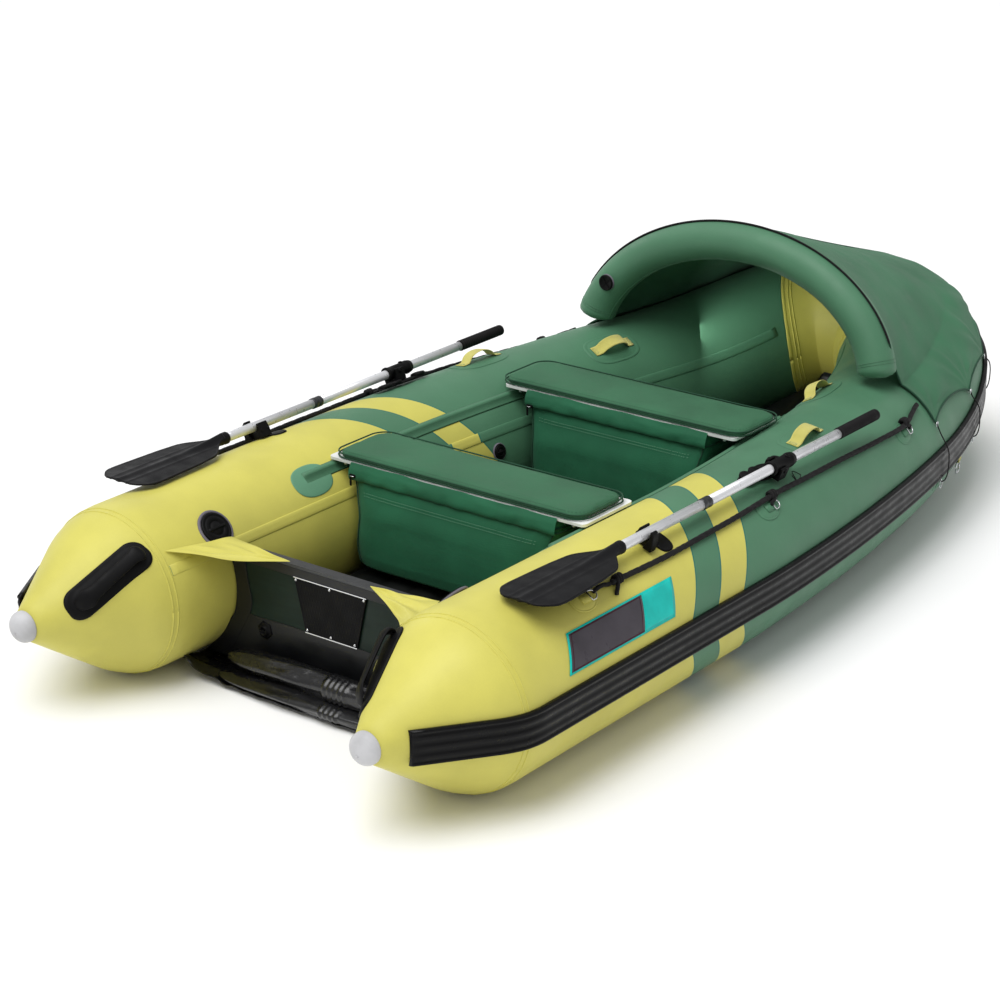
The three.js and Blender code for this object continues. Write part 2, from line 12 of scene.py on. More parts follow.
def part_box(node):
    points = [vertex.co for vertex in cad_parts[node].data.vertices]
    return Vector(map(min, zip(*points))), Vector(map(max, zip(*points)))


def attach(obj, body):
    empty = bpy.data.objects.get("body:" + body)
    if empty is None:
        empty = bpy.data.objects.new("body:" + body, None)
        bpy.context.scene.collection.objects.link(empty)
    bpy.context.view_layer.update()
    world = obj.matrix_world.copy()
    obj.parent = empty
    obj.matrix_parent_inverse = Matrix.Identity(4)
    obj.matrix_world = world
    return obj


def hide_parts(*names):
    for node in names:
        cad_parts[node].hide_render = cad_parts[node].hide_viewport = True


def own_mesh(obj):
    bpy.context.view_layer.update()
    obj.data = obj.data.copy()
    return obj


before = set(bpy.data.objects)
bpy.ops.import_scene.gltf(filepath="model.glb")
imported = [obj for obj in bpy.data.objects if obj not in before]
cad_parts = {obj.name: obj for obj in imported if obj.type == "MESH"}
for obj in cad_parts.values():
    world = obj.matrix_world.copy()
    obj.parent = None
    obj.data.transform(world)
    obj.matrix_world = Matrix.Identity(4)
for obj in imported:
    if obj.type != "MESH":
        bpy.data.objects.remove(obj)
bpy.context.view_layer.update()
SIDES = (("starboard", 1), ("port", -1))
SCENE = bpy.context.scene

# ---- the hull's shape, in metres; stations are counted forward from the stern ----
MID = 1.756
LENGTH = 3.5
TUBE_R = 0.236
TUBE_X = 0.58
CONE_END = 0.340
CONE_SHOULDER = 0.070
CONE_LIFT = 0.012
CAP_R = 0.042
CAP_LENGTH = 0.038
CONE_SLOPE = (TUBE_R - CAP_R) / (CONE_END - CAP_LENGTH)
BOW_START = 1.400
POWER_X = 2.7
POWER_Y = 1.52
SHEER_START = 2.500
SHEER_RISE = 0.132
SHEER_POWER = 2.5
BOW_SEAM = 3.065
BOW_Y = LENGTH - TUBE_R
# The bands of colour round the tubes slope by this much per degree away from the tube's outboard line.
BAND_SLOPE = 0.0027
BANDS = (1.020, 1.135, 1.260)


def bow_point(t):
    """The bow centreline at a parameter: 0 where the tubes start to curve, pi/2 at the stem."""
    c, s = math.cos(t), math.sin(t)
    y = BOW_START + (BOW_Y - BOW_START) * math.copysign(abs(s) ** (2 / POWER_Y), s)
    x = TUBE_X if t < 0 else TUBE_X * math.copysign(abs(c) ** (2 / POWER_X), c)
    lift = max(0.0, (y - SHEER_START) / (BOW_Y - SHEER_START)) ** SHEER_POWER
    return Vector((x, y, TUBE_R + SHEER_RISE * lift))


def bow_parameter(s):
    """The bow's parameter at a station."""
    return math.asin(((s - BOW_START) / (BOW_Y - BOW_START)) ** (POWER_Y / 2))


def cone_radius(s):
    """The stern cone's radius, with its shoulder rounded into the parallel tube."""
    past = max(0.0, s - CONE_END + CONE_SHOULDER)
    return CAP_R + CONE_SLOPE * (s - CAP_LENGTH - past**2 / (4 * CONE_SHOULDER))


class Frame:
    """A cross-section of the starboard tube: its centre, the way along it, out of the boat and up."""

    def __init__(self, centre, along, r, station):
        self.centre, self.along, self.r, self.station = centre, along, r, station
        self.out = Vector((along.y, -along.x, 0)).normalized()
        self.up = self.out.cross(along).normalized()

    def radial(self, degrees):
        a = math.radians(degrees)
        return self.out * math.cos(a) + self.up * math.sin(a)

    def point(self, degrees, lift=0.0):
        p = self.centre + self.radial(degrees) * (self.r + lift)
        return Vector((p.x, p.y - MID, p.z))


def bow_frame(t):
    """The tube's section at a parameter of the bow."""
    along = (bow_point(t + 0.01) - bow_point(t - 0.01)).normalized()
    centre = bow_point(t)
    return Frame(centre, along, TUBE_R, centre.y)


def hull_frame(s):
    """The starboard tube's section at a station."""
    if s > BOW_START:
        return bow_frame(bow_parameter(s))
    r = cone_radius(s) if s < CONE_END + CONE_SHOULDER else TUBE_R
    lift = CONE_LIFT * max(0.0, 1 - (s - CAP_LENGTH) / (CONE_END - CAP_LENGTH))
    return Frame(Vector((TUBE_X, s, TUBE_R + lift)), Vector((0, 1, 0)), r, s)


def mirrored(v, side):
    """A starboard point, or its twin to port."""
    return Vector((v.x * side, v.y, v.z))


def surface(s, degrees, lift=0.0, side=1):
    """(point, normal) on the skin of a side tube."""
    f = hull_frame(s)
    return mirrored(f.point(degrees, lift), side), mirrored(f.radial(degrees), side)


# ---- camera, light and floor ----
AZIMUTH, ELEVATION, ROLL = (math.radians(v) for v in (38.456, 20.516, -0.59))
EYE = Vector((4.223, -5.886, 2.994))


def make_camera():
    """The camera, from behind the starboard quarter."""
    ca, sa, ce, se = math.cos(AZIMUTH), math.sin(AZIMUTH), math.cos(ELEVATION), math.sin(ELEVATION)
    back = Vector((sa * ce, -ca * ce, se))
    right = Vector((ca, sa, 0))
    up = back.cross(right)
    cr, sr = math.cos(ROLL), math.sin(ROLL)
    x, y = right * cr + up * sr, up * cr - right * sr
    data = bpy.data.cameras.new("camera")
    data.lens, data.sensor_width = 95.0, 36.0
    data.shift_x, data.shift_y = 0.0235, -0.0262
    data.clip_end = 100
    cam = bpy.data.objects.new("camera", data)
    SCENE.collection.objects.link(cam)
    cam.matrix_world = Matrix((
        (x.x, y.x, back.x, EYE.x), (x.y, y.y, back.y, EYE.y), (x.z, y.z, back.z, EYE.z), (0, 0, 0, 1)))
    SCENE.camera = cam


def area_light(name, place, target, size, power, size_y=None):
    """A soft lamp at a place, turned to a target."""
    data = bpy.data.lights.new(name, "AREA")
    data.energy, data.size = power, size
    if size_y:
        data.shape, data.size_y = "RECTANGLE", size_y
    lamp = bpy.data.objects.new(name, data)
    SCENE.collection.objects.link(lamp)
    lamp.location = place
    lamp.rotation_euler = (Vector(target) - Vector(place)).to_track_quat("-Z", "Y").to_euler()


def make_studio():
    """Soft studio light and a plain pale floor."""
    SCENE.view_settings.view_transform = "Standard"
    world = bpy.data.worlds.new("studio")
    SCENE.world = world
    world.use_nodes = True
    shade = world.node_tree.nodes["Background"]
    shade.inputs[0].default_value = (1.0, 1.0, 1.0, 1)
    shade.inputs[1].default_value = 0.50
    sun = bpy.data.lights.new("sun", "SUN")
    sun.energy, sun.angle = 2.1, math.radians(50)
    lamp = bpy.data.objects.new("sun", sun)
    SCENE.collection.objects.link(lamp)
    lamp.rotation_euler = (math.radians(20), math.radians(-6), 0)
    area_light("strip", (0.5, -2.0, 4.2), (0, 0, 0.3), 0.8, 28, 5.0)
    area_light("rim", (-4.5, 1.5, 2.6), (0, 0.3, 0.5), 2.0, 18)
    area_light("bow", (-0.16, 0.88, 0.56), (0.42, 1.50, 0.36), 0.3, 1.0)
    floor = bpy.data.meshes.new("studio_floor")
    floor.from_pydata([(-60, -60, 0), (60, -60, 0), (60, 60, 0), (-60, 60, 0)], [], [(0, 1, 2, 3)])
    obj = bpy.data.objects.new("studio_floor", floor)
    SCENE.collection.objects.link(obj)
    obj.location.z = -0.004
    mat = bpy.data.materials.new("studio_floor")
    mat.use_nodes = True
    bsdf = mat.node_tree.nodes["Principled BSDF"]
    bsdf.inputs["Base Color"].default_value = (0.93, 0.93, 0.93, 1)
    bsdf.inputs["Roughness"].default_value = 0.9
    floor.materials.append(mat)


make_camera()
make_studio()

# ---- materials ----
def linear(*rgb):
    """Linear colour from 0-255 display values."""
    return tuple((v / 255 / 12.92) if v / 255 <= 0.04045 else ((v / 255 + 0.055) / 1.055) ** 2.4
                 for v in rgb)


class Shade:
    """A principled material whose colour, roughness and bump come from procedural nodes."""

    def __init__(self, name, rough=0.5, metal=0.0, spec=0.5, coat=0.0, coat_rough=0.1, sheen=0.0):
        self.mat = bpy.data.materials.new(name)
        self.mat.use_nodes = True
        self.tree = self.mat.node_tree
        self.bsdf = self.tree.nodes["Principled BSDF"]
        for key, value in (("Roughness", rough), ("Metallic", metal), ("Specular IOR Level", spec),
                           ("Coat Weight", coat), ("Coat Roughness", coat_rough),
                           ("Sheen Weight", sheen)):
            self.bsdf.inputs[key].default_value = value
        self.place = self.node("ShaderNodeTexCoord").outputs["Object"]
        self.normal = None

    def put(self, socket, value):
        if isinstance(value, bpy.types.NodeSocket):
            self.tree.links.new(value, socket)
        elif hasattr(value, "__len__") and len(value) == 3 and socket.type == "RGBA":
            socket.default_value = (*value, 1)
        else:
            socket.default_value = value

    def node(self, kind, inputs=(), **props):
        made = self.tree.nodes.new(kind)
        for key, value in props.items():
            setattr(made, key, value)
        for key, value in dict(inputs).items():
            self.put(made.inputs[key], value)
        return made

    def math(self, operation, a, b=0.0, c=0.0):
        made = self.node("ShaderNodeMath", operation=operation)
        for socket, value in zip(made.inputs, (a, b, c)):
            self.put(socket, value)
        return made.outputs[0]

    def mix(self, factor, a, b):
        made = self.node("ShaderNodeMix", data_type="RGBA")
        self.put(made.inputs[0], factor)
        self.put(made.inputs[6], a)
        self.put(made.inputs[7], b)
        return made.outputs[2]

    def noise(self, scale, detail=3.0, stretch=None, rough=0.5):
        place = self.place
        if stretch:
            place = self.node("ShaderNodeMapping", {"Vector": place, "Scale": stretch}).outputs[0]
        return self.node("ShaderNodeTexNoise",
                         {"Vector": place, "Scale": scale, "Detail": detail,
                          "Roughness": rough}).outputs["Fac"]

    def wave(self, scale, axis="X", distortion=0.0):
        return self.node("ShaderNodeTexWave",
                         {"Vector": self.place, "Scale": scale, "Distortion": distortion},
                         bands_direction=axis).outputs["Fac"]

    def step(self, value, low, high):
        made = self.node("ShaderNodeMapRange", {"Value": value, "From Min": low, "From Max": high})
        return made.outputs[0]

    def bump(self, height, distance, strength=1.0):
        inputs = {"Height": height, "Distance": distance, "Strength": strength}
        if self.normal:
            inputs["Normal"] = self.normal
        self.normal = self.node("ShaderNodeBump", inputs).outputs[0]
        self.put(self.bsdf.inputs["Normal"], self.normal)

    def colour(self, value):
        self.put(self.bsdf.inputs["Base Color"], value)

    def rough(self, low, high, scale):
        value = self.noise(scale, 4.0)
        self.put(self.bsdf.inputs["Roughness"], self.node(
            "ShaderNodeMapRange",
            {"Value": value, "From Min": 0.3, "From Max": 0.7, "To Min": low, "To Max": high}
        ).outputs[0])

    def mottled(self, colour, spread=0.10, scale=5.0):
        """The colour with slow and fine variation, as coated fabric has after use."""
        dark = tuple(v * (1 - spread) for v in colour)
        light = tuple(min(1.0, v * (1 + spread)) for v in colour)
        slow = self.mix(self.step(self.noise(scale, 4.0), 0.35, 0.65), dark, light)
        fine = self.step(self.noise(scale * 40, 2.0), 0.30, 0.75)
        made = self.node("ShaderNodeMix", data_type="RGBA", blend_type="MULTIPLY")
        self.put(made.inputs[0], 0.10)
        self.put(made.inputs[6], slow)
        self.put(made.inputs[7], self.mix(fine, (0.78, 0.78, 0.78), (1, 1, 1)))
        return made.outputs[2]

    def weave(self, pitch, distance):
        """A plain weave: fine threads across each other."""
        threads = [self.wave(0.5 / pitch, axis) for axis in ("X", "Y", "Z")]
        both = self.math("ADD", self.math("MULTIPLY", threads[0], threads[1]), threads[2])
        self.bump(both, distance)


GREEN = linear(74, 122, 92)
YELLOW = linear(205, 198, 94)
BAG_GREEN = linear(36, 100, 70)
EDGE_TEAL = linear(28, 108, 96)


def coated(name, colour, rough=0.46, spread=0.07):
    """PVC-coated fabric: a faint cloth texture under a satin coat."""
    s = Shade(name, rough, spec=0.35, sheen=0.05)
    s.colour(s.mottled(colour, spread))
    s.rough(rough - 0.06, rough + 0.10, 9.0)
    s.weave(0.0014, 0.00006)
    s.bump(s.noise(14.0, 4.0), 0.0016, 0.5)
    return s


def banded_fabric():
    """The side tubes: yellow aft, green forward, with a green and a yellow band between them."""
    s = Shade("tube_fabric", 0.46, spec=0.35, sheen=0.05)
    split = s.node("ShaderNodeSeparateXYZ",
                   {"Vector": s.node("ShaderNodeUVMap", uv_map="hull").outputs[0]})
    degrees = s.math("ABSOLUTE", split.outputs[0])
    place = s.math("SUBTRACT", split.outputs[1], s.math("MULTIPLY", degrees, BAND_SLOPE))
    edge = [s.step(place, b - 0.0004, b + 0.0004) for b in BANDS]
    yellow, green = s.mottled(YELLOW, 0.06), s.mottled(GREEN, 0.07)
    colour = s.mix(edge[2], s.mix(edge[1], s.mix(edge[0], yellow, green), yellow), green)
    lines = None
    for b in BANDS:
        near = s.step(s.math("ABSOLUTE", s.math("SUBTRACT", place, b)), 0.0030, 0.0022)
        lines = near if lines is None else s.math("MAXIMUM", lines, near)
    s.colour(s.mix(lines, colour, EDGE_TEAL))
    s.rough(0.40, 0.56, 9.0)
    s.weave(0.0014, 0.00006)
    s.bump(s.noise(9.0, 4.0), 0.0022, 0.5)
    return s.mat


def canvas(name, colour, rough=0.62, pitch=0.0018):
    """Woven cloth with a fine weave and soft wrinkles."""
    s = Shade(name, rough, spec=0.18, sheen=0.06)
    s.colour(s.mottled(colour, 0.10, 7.0))
    s.rough(rough - 0.06, rough + 0.12, 14.0)
    s.weave(pitch, 0.00016)
    s.bump(s.noise(22.0, 5.0), 0.0018, 0.5)
    return s.mat


def plastic(name, colour, rough=0.45, grain=900.0, coat=0.0, depth=0.0002):
    """Moulded plastic or rubber with a fine grain."""
    s = Shade(name, rough, spec=0.12, coat=coat, coat_rough=0.2)
    s.colour(s.mottled(colour, 0.14, 11.0))
    s.rough(rough - 0.08, rough + 0.12, 24.0)
    s.bump(s.noise(grain, 2.0), depth, 0.7)
    return s.mat


def vinyl(name, colour, rough, wrinkle=0.007, coat=0.6):
    """Glossy black PVC skin with soft creases."""
    s = Shade(name, rough, spec=0.3, coat=coat, coat_rough=0.12)
    s.colour(s.mottled(colour, 0.15, 6.0))
    s.rough(rough - 0.06, rough + 0.14, 12.0)
    s.bump(s.noise(16.0, 4.0, (1.0, 2.6, 1.0)), wrinkle, 0.8)
    s.bump(s.noise(700.0, 1.0), 0.0001, 0.5)
    return s.mat


def webbing(name, colour):
    """Flat woven strap, ribbed both ways."""
    s = Shade(name, 0.6, spec=0.3, sheen=0.2)
    rib = s.wave(0.5 / 0.0030, "Y")
    cross = s.wave(0.5 / 0.0022, "X")
    s.colour(s.mix(s.math("MULTIPLY", rib, 0.30), s.mottled(colour, 0.08, 12.0),
                   tuple(v * 0.55 for v in colour)))
    s.bump(s.math("ADD", rib, s.math("MULTIPLY", cross, 0.5)), 0.0007, 0.8)
    s.rough(0.52, 0.72, 40.0)
    return s.mat


def metal(name, colour, rough, stretch, share=1.0):
    """Brushed metal, its streaks stretched one way."""
    s = Shade(name, rough, metal=share)
    streak = s.noise(240.0, 3.0, stretch)
    s.colour(s.mix(s.step(streak, 0.3, 0.7), tuple(v * 0.86 for v in colour), colour))
    s.rough(rough - 0.05, rough + 0.12, 60.0)
    s.bump(streak, 0.0001, 0.5)
    return s.mat


def rope_material():
    """Plaited black rope."""
    s = Shade("rope", 0.75, spec=0.12, sheen=0.04)
    s.colour(s.mottled(linear(28, 27, 28), 0.35, 90.0))
    s.bump(s.noise(900.0, 3.0), 0.0005, 0.8)
    s.rough(0.65, 0.85, 90.0)
    return s.mat


def painted_board():
    """The transom's painted plywood."""
    s = Shade("transom_paint", 0.42, spec=0.2, coat=0.05, coat_rough=0.25)
    grain = s.noise(5.0, 5.0, (1.0, 8.0, 9.0))
    s.colour(s.mix(s.step(grain, 0.35, 0.65), linear(9, 26, 18), linear(15, 34, 25)))
    s.rough(0.36, 0.52, 18.0)
    s.bump(grain, 0.0006, 0.5)
    return s.mat


MAT = {
    "tube": banded_fabric(),
    "green": coated("green_fabric", GREEN).mat,
    "yellow": coated("yellow_fabric", YELLOW, spread=0.06).mat,
    "bow_yellow": coated("bow_fabric", YELLOW, spread=0.06).mat,
    "patch_green": coated("patch_fabric", linear(96, 148, 118)).mat,
    "cover": canvas("cover_canvas", linear(62, 112, 82)),
    "cushion": canvas("cushion_canvas", linear(54, 102, 73)),
    "bag": canvas("bag_canvas", BAG_GREEN, 0.52),
    "piping": canvas("piping_canvas", linear(34, 72, 52), 0.7),
    "thread": canvas("stitching", linear(120, 168, 138), 0.8, 0.0006),
    "strake": plastic("strake_rubber", linear(7, 7, 8), 0.30, 500.0, 0.06),
    "black": plastic("moulded_black", linear(11, 11, 12), 0.5),
    "blade": plastic("blade_plastic", linear(20, 20, 22), 0.5),
    "grip": plastic("grip_rubber", linear(27, 26, 27), 0.66, 420.0, 0.0, 0.0004),
    "white": plastic("cap_plastic", linear(190, 190, 192), 0.42, 300.0, 0.0, 0.0001),
    "plank": plastic("plank_paint", linear(224, 226, 224), 0.36, 240.0, 0.2, 0.0001),
    "vinyl": vinyl("black_skin", linear(15, 15, 17), 0.22),
    "floor": vinyl("floor_skin", linear(12, 14, 13), 0.42, 0.002, 0.1),
    "pvc_strip": vinyl("black_strip", linear(17, 18, 20), 0.34, 0.001, 0.15),
    "webbing": webbing("yellow_webbing", linear(216, 208, 110)),
    "alloy": metal("oar_alloy", linear(232, 233, 236), 0.30, (1.0, 0.03, 1.0), 0.45),
    "cap_alloy": metal("transom_cap_alloy", linear(84, 85, 87), 0.34, (0.03, 1.0, 1.0)),
    "steel": metal("ring_steel", linear(222, 223, 226), 0.16, (1.0, 1.0, 1.0)),
    "rope": rope_material(),
    "board": painted_board(),
    "label_dark": plastic("label_grey", linear(66, 62, 68), 0.34, 200.0, 0.3),
    "label_teal": plastic("label_teal", linear(0, 190, 176), 0.34, 200.0, 0.3),
    "label_red": plastic("label_edge", linear(62, 22, 34), 0.4, 200.0),
    "zip": plastic("zip_tape", linear(26, 60, 44), 0.6, 600.0),
    "valve_rim": plastic("valve_rim", linear(112, 108, 118), 0.42),
    "label_bright": plastic("label_bright", linear(24, 186, 176), 0.34, 200.0, 0.3),
}

# ---- mesh helpers ----
def piece(name, verts, faces, mat, body, slot, smooth=True, uv=None, edges=()):
    """A mesh object in the row frame that rides on a body."""
    mesh = bpy.data.meshes.new(name)
    mesh.from_pydata([tuple(v) for v in verts], list(edges), [tuple(f) for f in faces])
    mesh.validate()
    if uv:
        layer = mesh.uv_layers.new(name="hull")
        for polygon in mesh.polygons:
            for k, loop in enumerate(polygon.loop_indices):
                layer.data[loop].uv = uv(polygon.index, k)
    if smooth:
        mesh.polygons.foreach_set("use_smooth", [True] * len(mesh.polygons))
    mesh.materials.append(MAT[mat])
    obj = bpy.data.objects.new(name, mesh)
    SCENE.collection.objects.link(obj)
    tidy_normals(mesh)
    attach(obj, body)
    return obj


def tidy_normals(mesh):
    """Turn every face outward."""
    bm = bmesh.new()
    bm.from_mesh(mesh)
    bmesh.ops.recalc_face_normals(bm, faces=bm.faces)
    bm.to_mesh(mesh)
    bm.free()


def modify(obj, kind, **settings):
    """Add a modifier with its settings."""
    made = obj.modifiers.new(kind.lower(), kind)
    for key, value in settings.items():
        setattr(made, key, value)
    return made


def bevelled(obj, width, segments=2, angle=35):
    """Round an object off along its edges."""
    modify(obj, "BEVEL", width=width, segments=segments, limit_method="ANGLE",
           angle_limit=math.radians(angle))
    for polygon in obj.data.polygons:
        polygon.use_smooth = True
    modify(obj, "WEIGHTED_NORMAL")
    return obj


def strip_faces(rows, columns, wrap_columns=True, start=0):
    """Quads between rows of points."""
    faces = []
    last = columns if wrap_columns else columns - 1
    for r in range(rows - 1):
        for c in range(last):
            a, b = start + r * columns + c, start + r * columns + (c + 1) % columns
            faces.append((a, b, b + columns, a + columns))
    return faces


def closed_sweep(rings):
    """(vertices, faces) through closed rings, with an n-gon over each end."""
    n = len(rings[0])
    verts = [p for ring in rings for p in ring]
    faces = strip_faces(len(rings), n)
    faces.append(tuple(range(n - 1, -1, -1)))
    faces.append(tuple((len(rings) - 1) * n + i for i in range(n)))
    return verts, faces


def rotation_frames(points):
    """Parallel-transported (tangent, u, v) at each point of a path."""
    points = [Vector(p) for p in points]
    frames, u = [], None
    for i, p in enumerate(points):
        t = (points[min(i + 1, len(points) - 1)] - points[max(i - 1, 0)]).normalized()
        if u is None:
            u = t.orthogonal().normalized()
        u = (u - t * u.dot(t)).normalized()
        frames.append((t, u, t.cross(u)))
    return frames


def spline(knots, count):
    """Points along a Catmull-Rom curve through the knots."""
    knots = [Vector(k) for k in knots]
    ends = [knots[0] * 2 - knots[1], *knots, knots[-1] * 2 - knots[-2]]
    out = []
    for i in range(count + 1):
        x = i / count * (len(knots) - 1)
        k = min(int(x), len(knots) - 2)
        t = x - k
        a, b, c, d = ends[k:k + 4]
        out.append(0.5 * (2 * b + (c - a) * t + (2 * a - 5 * b + 4 * c - d) * t**2
                          + (3 * b - a - 3 * c + d) * t**3))
    return out


def round_cord(name, points, radius, mat, body, slot, sides=10, braid=0.0, pitch=0.030):
    """A cord with closed ends; braid gives it the diamond relief of plaited strands."""
    points = [Vector(p) for p in points]
    rings, run = [], 0.0
    frames = rotation_frames(points)
    for i, (p, (_, u, v)) in enumerate(zip(points, frames)):
        run += (p - points[i - 1]).length if i else 0.0
        r = radius(i / (len(points) - 1)) if callable(radius) else radius
        if i in (0, len(points) - 1):
            r *= 0.55
        ring = []
        for k in range(sides):
            a = 2 * math.pi * k / sides
            turn = 2 * math.pi * run / pitch
            relief = max(math.cos(3 * a + turn), math.cos(3 * a - turn)) if braid else 0.0
            ring.append(p + (u * math.cos(a) + v * math.sin(a)) * r * (1 - braid * 0.5 + braid * relief))
        rings.append(ring)
    return piece(name, *closed_sweep(rings), mat, body, slot)


def rope(name, points, radius, body, slot="black_rope", braid=0.16):
    """A plaited rope, sampled finely enough to show its strands."""
    length = sum((Vector(b) - Vector(a)).length for a, b in zip(points, points[1:]))
    fine = spline(points, max(8, int(length / 0.0045)))
    return round_cord(name, fine, radius, "rope", body, slot, 12, braid, radius * 7)


def lathe(profile, axis_origin, axis, mat, name, body, slot, segments=40):
    """A solid of revolution; profile is (radius, height) from one end of the axis to the other."""
    axis = Vector(axis).normalized()
    u = axis.orthogonal().normalized()
    v = axis.cross(u)
    origin = Vector(axis_origin)
    rings = [[origin + axis * h + (u * math.cos(a) + v * math.sin(a)) * max(r, 1e-5)
              for a in round_angles(segments)] for r, h in profile]
    return piece(name, *closed_sweep(rings), mat, body, slot)


def rounded_rectangle(width, height, r, steps=6):
    """Outline of a rectangle with round corners, about its middle."""
    out = []
    for cx, cy, start in ((1, 1, 0), (-1, 1, 90), (-1, -1, 180), (1, -1, 270)):
        for k in range(steps + 1):
            a = math.radians(start + 90 * k / steps)
            out.append((cx * (width / 2 - r) + r * math.cos(a), cy * (height / 2 - r) + r * math.sin(a)))
    return out


def ellipse(width, height, steps=40, power=2.0):
    """Outline of a superellipse, about its middle."""
    out = []
    for k in range(steps):
        a = 2 * math.pi * k / steps
        c, s = math.cos(a), math.sin(a)
        out.append((width / 2 * math.copysign(abs(c) ** (2 / power), c),
                    height / 2 * math.copysign(abs(s) ** (2 / power), s)))
    return out


def on_tube(s, degrees, side):
    """A map from (u forward, v upward round the tube, lift) in metres to the skin near a spot."""
    f = hull_frame(s)

    def place(u, v, lift):
        g = hull_frame(s + u * f.along.y)
        return mirrored(g.point(degrees + math.degrees(v / g.r), lift), side)

    return place


PATCH_STEPS = ((1.0, 0.0002), (0.985, 0.0011), (0.93, 0.0013), (0.70, 0.0013), (0.35, 0.0013))
GROOVED_STEPS = ((1.0, 0.0002), (0.985, 0.0012), (0.90, 0.0013), (0.865, 0.0004), (0.83, 0.0013),
                 (0.45, 0.0013))


def patch(name, place, outline, mat, body, slot, steps=PATCH_STEPS, extra=0.0):
    """A thin glued patch: its outline shrinks inward ring by ring while it rises off the skin."""
    n = len(outline)
    verts = [place(u * k, v * k, lift + extra) for k, lift in steps for u, v in outline]
    verts.append(place(0, 0, steps[-1][1] + extra))
    faces = strip_faces(len(steps), n)
    centre = len(verts) - 1
    faces += [((len(steps) - 1) * n + i, (len(steps) - 1) * n + (i + 1) % n, centre) for i in range(n)]
    return piece(name, verts, faces, mat, body, slot)


def tape(name, stations, degrees, width, lift, mat, side, slot, body="hull", base=0.0003, ripple=0.0):
    """A strip glued along the tube at an angle that may change with the station."""
    rings = []
    half = [(-1, 0.0), (-0.86, 1.0), (-0.3, 1.0), (0.3, 1.0), (0.86, 1.0), (1, 0.0)]
    for s in stations:
        f = hull_frame(s)
        a = degrees(s) if callable(degrees) else degrees
        ring = []
        for k, h in half:
            rise = base + lift * h * (1 + ripple * noise(Vector((s * 24, k * 3, side))))
            ring.append(mirrored(f.point(a + math.degrees(k * width / 2 / f.r), rise), side))
        ring += [mirrored(f.point(a + math.degrees(k * width / 2 / f.r), -0.002), side) for k in (1, -1)]
        rings.append(ring)

    def uv(face, corner):
        if face >= (len(rings) - 1) * 8:
            return (150, 2)
        r = face // 8 + (1 if corner in (2, 3) else 0)
        return (degrees(stations[r]) if callable(degrees) else degrees, stations[r])

    return piece(name, *closed_sweep(rings), mat, body, slot, uv=uv)


def round_angles(n):
    """The n angles of a full turn."""
    return [2 * math.pi * k / n for k in range(n)]


def steps_between(a, b, n):
    """Evenly spaced values, both ends included."""
    return [a + (b - a) * i / n for i in range(n + 1)]


# ---- hull ----
def wrinkle(s, degrees, side):
    """Small unevenness of the inflated skin, stronger where pieces are joined."""
    p = Vector((s * 2.2, math.cos(math.radians(degrees)) * 1.2,
                math.sin(math.radians(degrees)) * 1.2 + side * 5))
    slow = noise(p) * 0.0010
    pucker = noise(Vector((degrees * 0.30, s * 6, side * 3))) * 0.0016
    near = math.exp(-((s - BOW_SEAM) / 0.05) ** 2) + 0.7 * math.exp(-((s - CONE_END - 0.01) / 0.03) ** 2)
    return slow + pucker * near


TUBE_SIDES = 96


def mitre(a):
    """How far round the bow the glued seam leans at an angle of the tube: inboard is aft of outboard."""
    return 0.178 * (1 + math.cos(math.radians(a))) + 0.012 * math.sin(math.radians(a))


def hull_tube(name, frames, mat, slot, side, node, lean=None, angle_seam=-160):
    """A tube's skin; lean(k, a) gives the bow parameter of ring k at an angle where its seam is slanted."""
    rings = []
    for i, f in enumerate(frames):
        ring = []
        for k in range(TUBE_SIDES):
            a = angle_seam + 360 * k / TUBE_SIDES
            t = lean(i, a) if lean else None
            g = f if t is None else bow_frame(t)
            ring.append(mirrored(g.point(a, -0.0005 + wrinkle(g.station, a, side)), side))
        rings.append(ring)
    verts, faces = closed_sweep(rings)
    quads = (len(frames) - 1) * TUBE_SIDES

    def uv(face, corner):
        if face >= quads:
            return (0, 0)
        r, c = divmod(face, TUBE_SIDES)
        column = c + (1 if corner in (1, 2) else 0)
        row = r + (1 if corner in (2, 3) else 0)
        return (angle_seam + 360 * column / TUBE_SIDES, frames[row].station)

    obj = piece(name, verts, faces, mat, "hull", slot, uv=uv)
    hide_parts(node)
    return obj


def side_tube(word, side):
    """One side tube, from the stern cone to the bow seam."""
    stations = steps_between(CAP_LENGTH, CONE_END - CONE_SHOULDER, 10)
    stations += steps_between(CONE_END - CONE_SHOULDER, CONE_END + CONE_SHOULDER, 14)[1:]
    stations += steps_between(CONE_END + CONE_SHOULDER, BOW_START, 40)[1:]
    frames = [hull_frame(s) for s in stations]
    seam = bow_parameter(BOW_SEAM)
    first = len(frames) - 1
    frames += [bow_frame(seam * i / 90) for i in range(1, 91)]

    def lean(k, a):
        x = (k - first) / 90
        return seam * x + mitre(a) * x**4 if x > 0 else None

    hull_tube(f"{word}_tube_skin", frames, "tube", "hull_fabric_green", side, f"{word}_tube", lean)


def bow_tube():
    """The yellow tube round the bow, between the two seams."""
    seam = bow_parameter(BOW_SEAM + 0.0004)
    frames = [bow_frame(seam + (math.pi - 2 * seam) * i / 70) for i in range(71)]

    def lean(k, a):
        x = k / 70
        return seam + (math.pi - 2 * seam) * x + mitre(a) * (1 - 2 * x)

    hull_tube("bow_tube_skin", frames, "bow_yellow", "hull_fabric_yellow", 1, "bow_tube", lean)


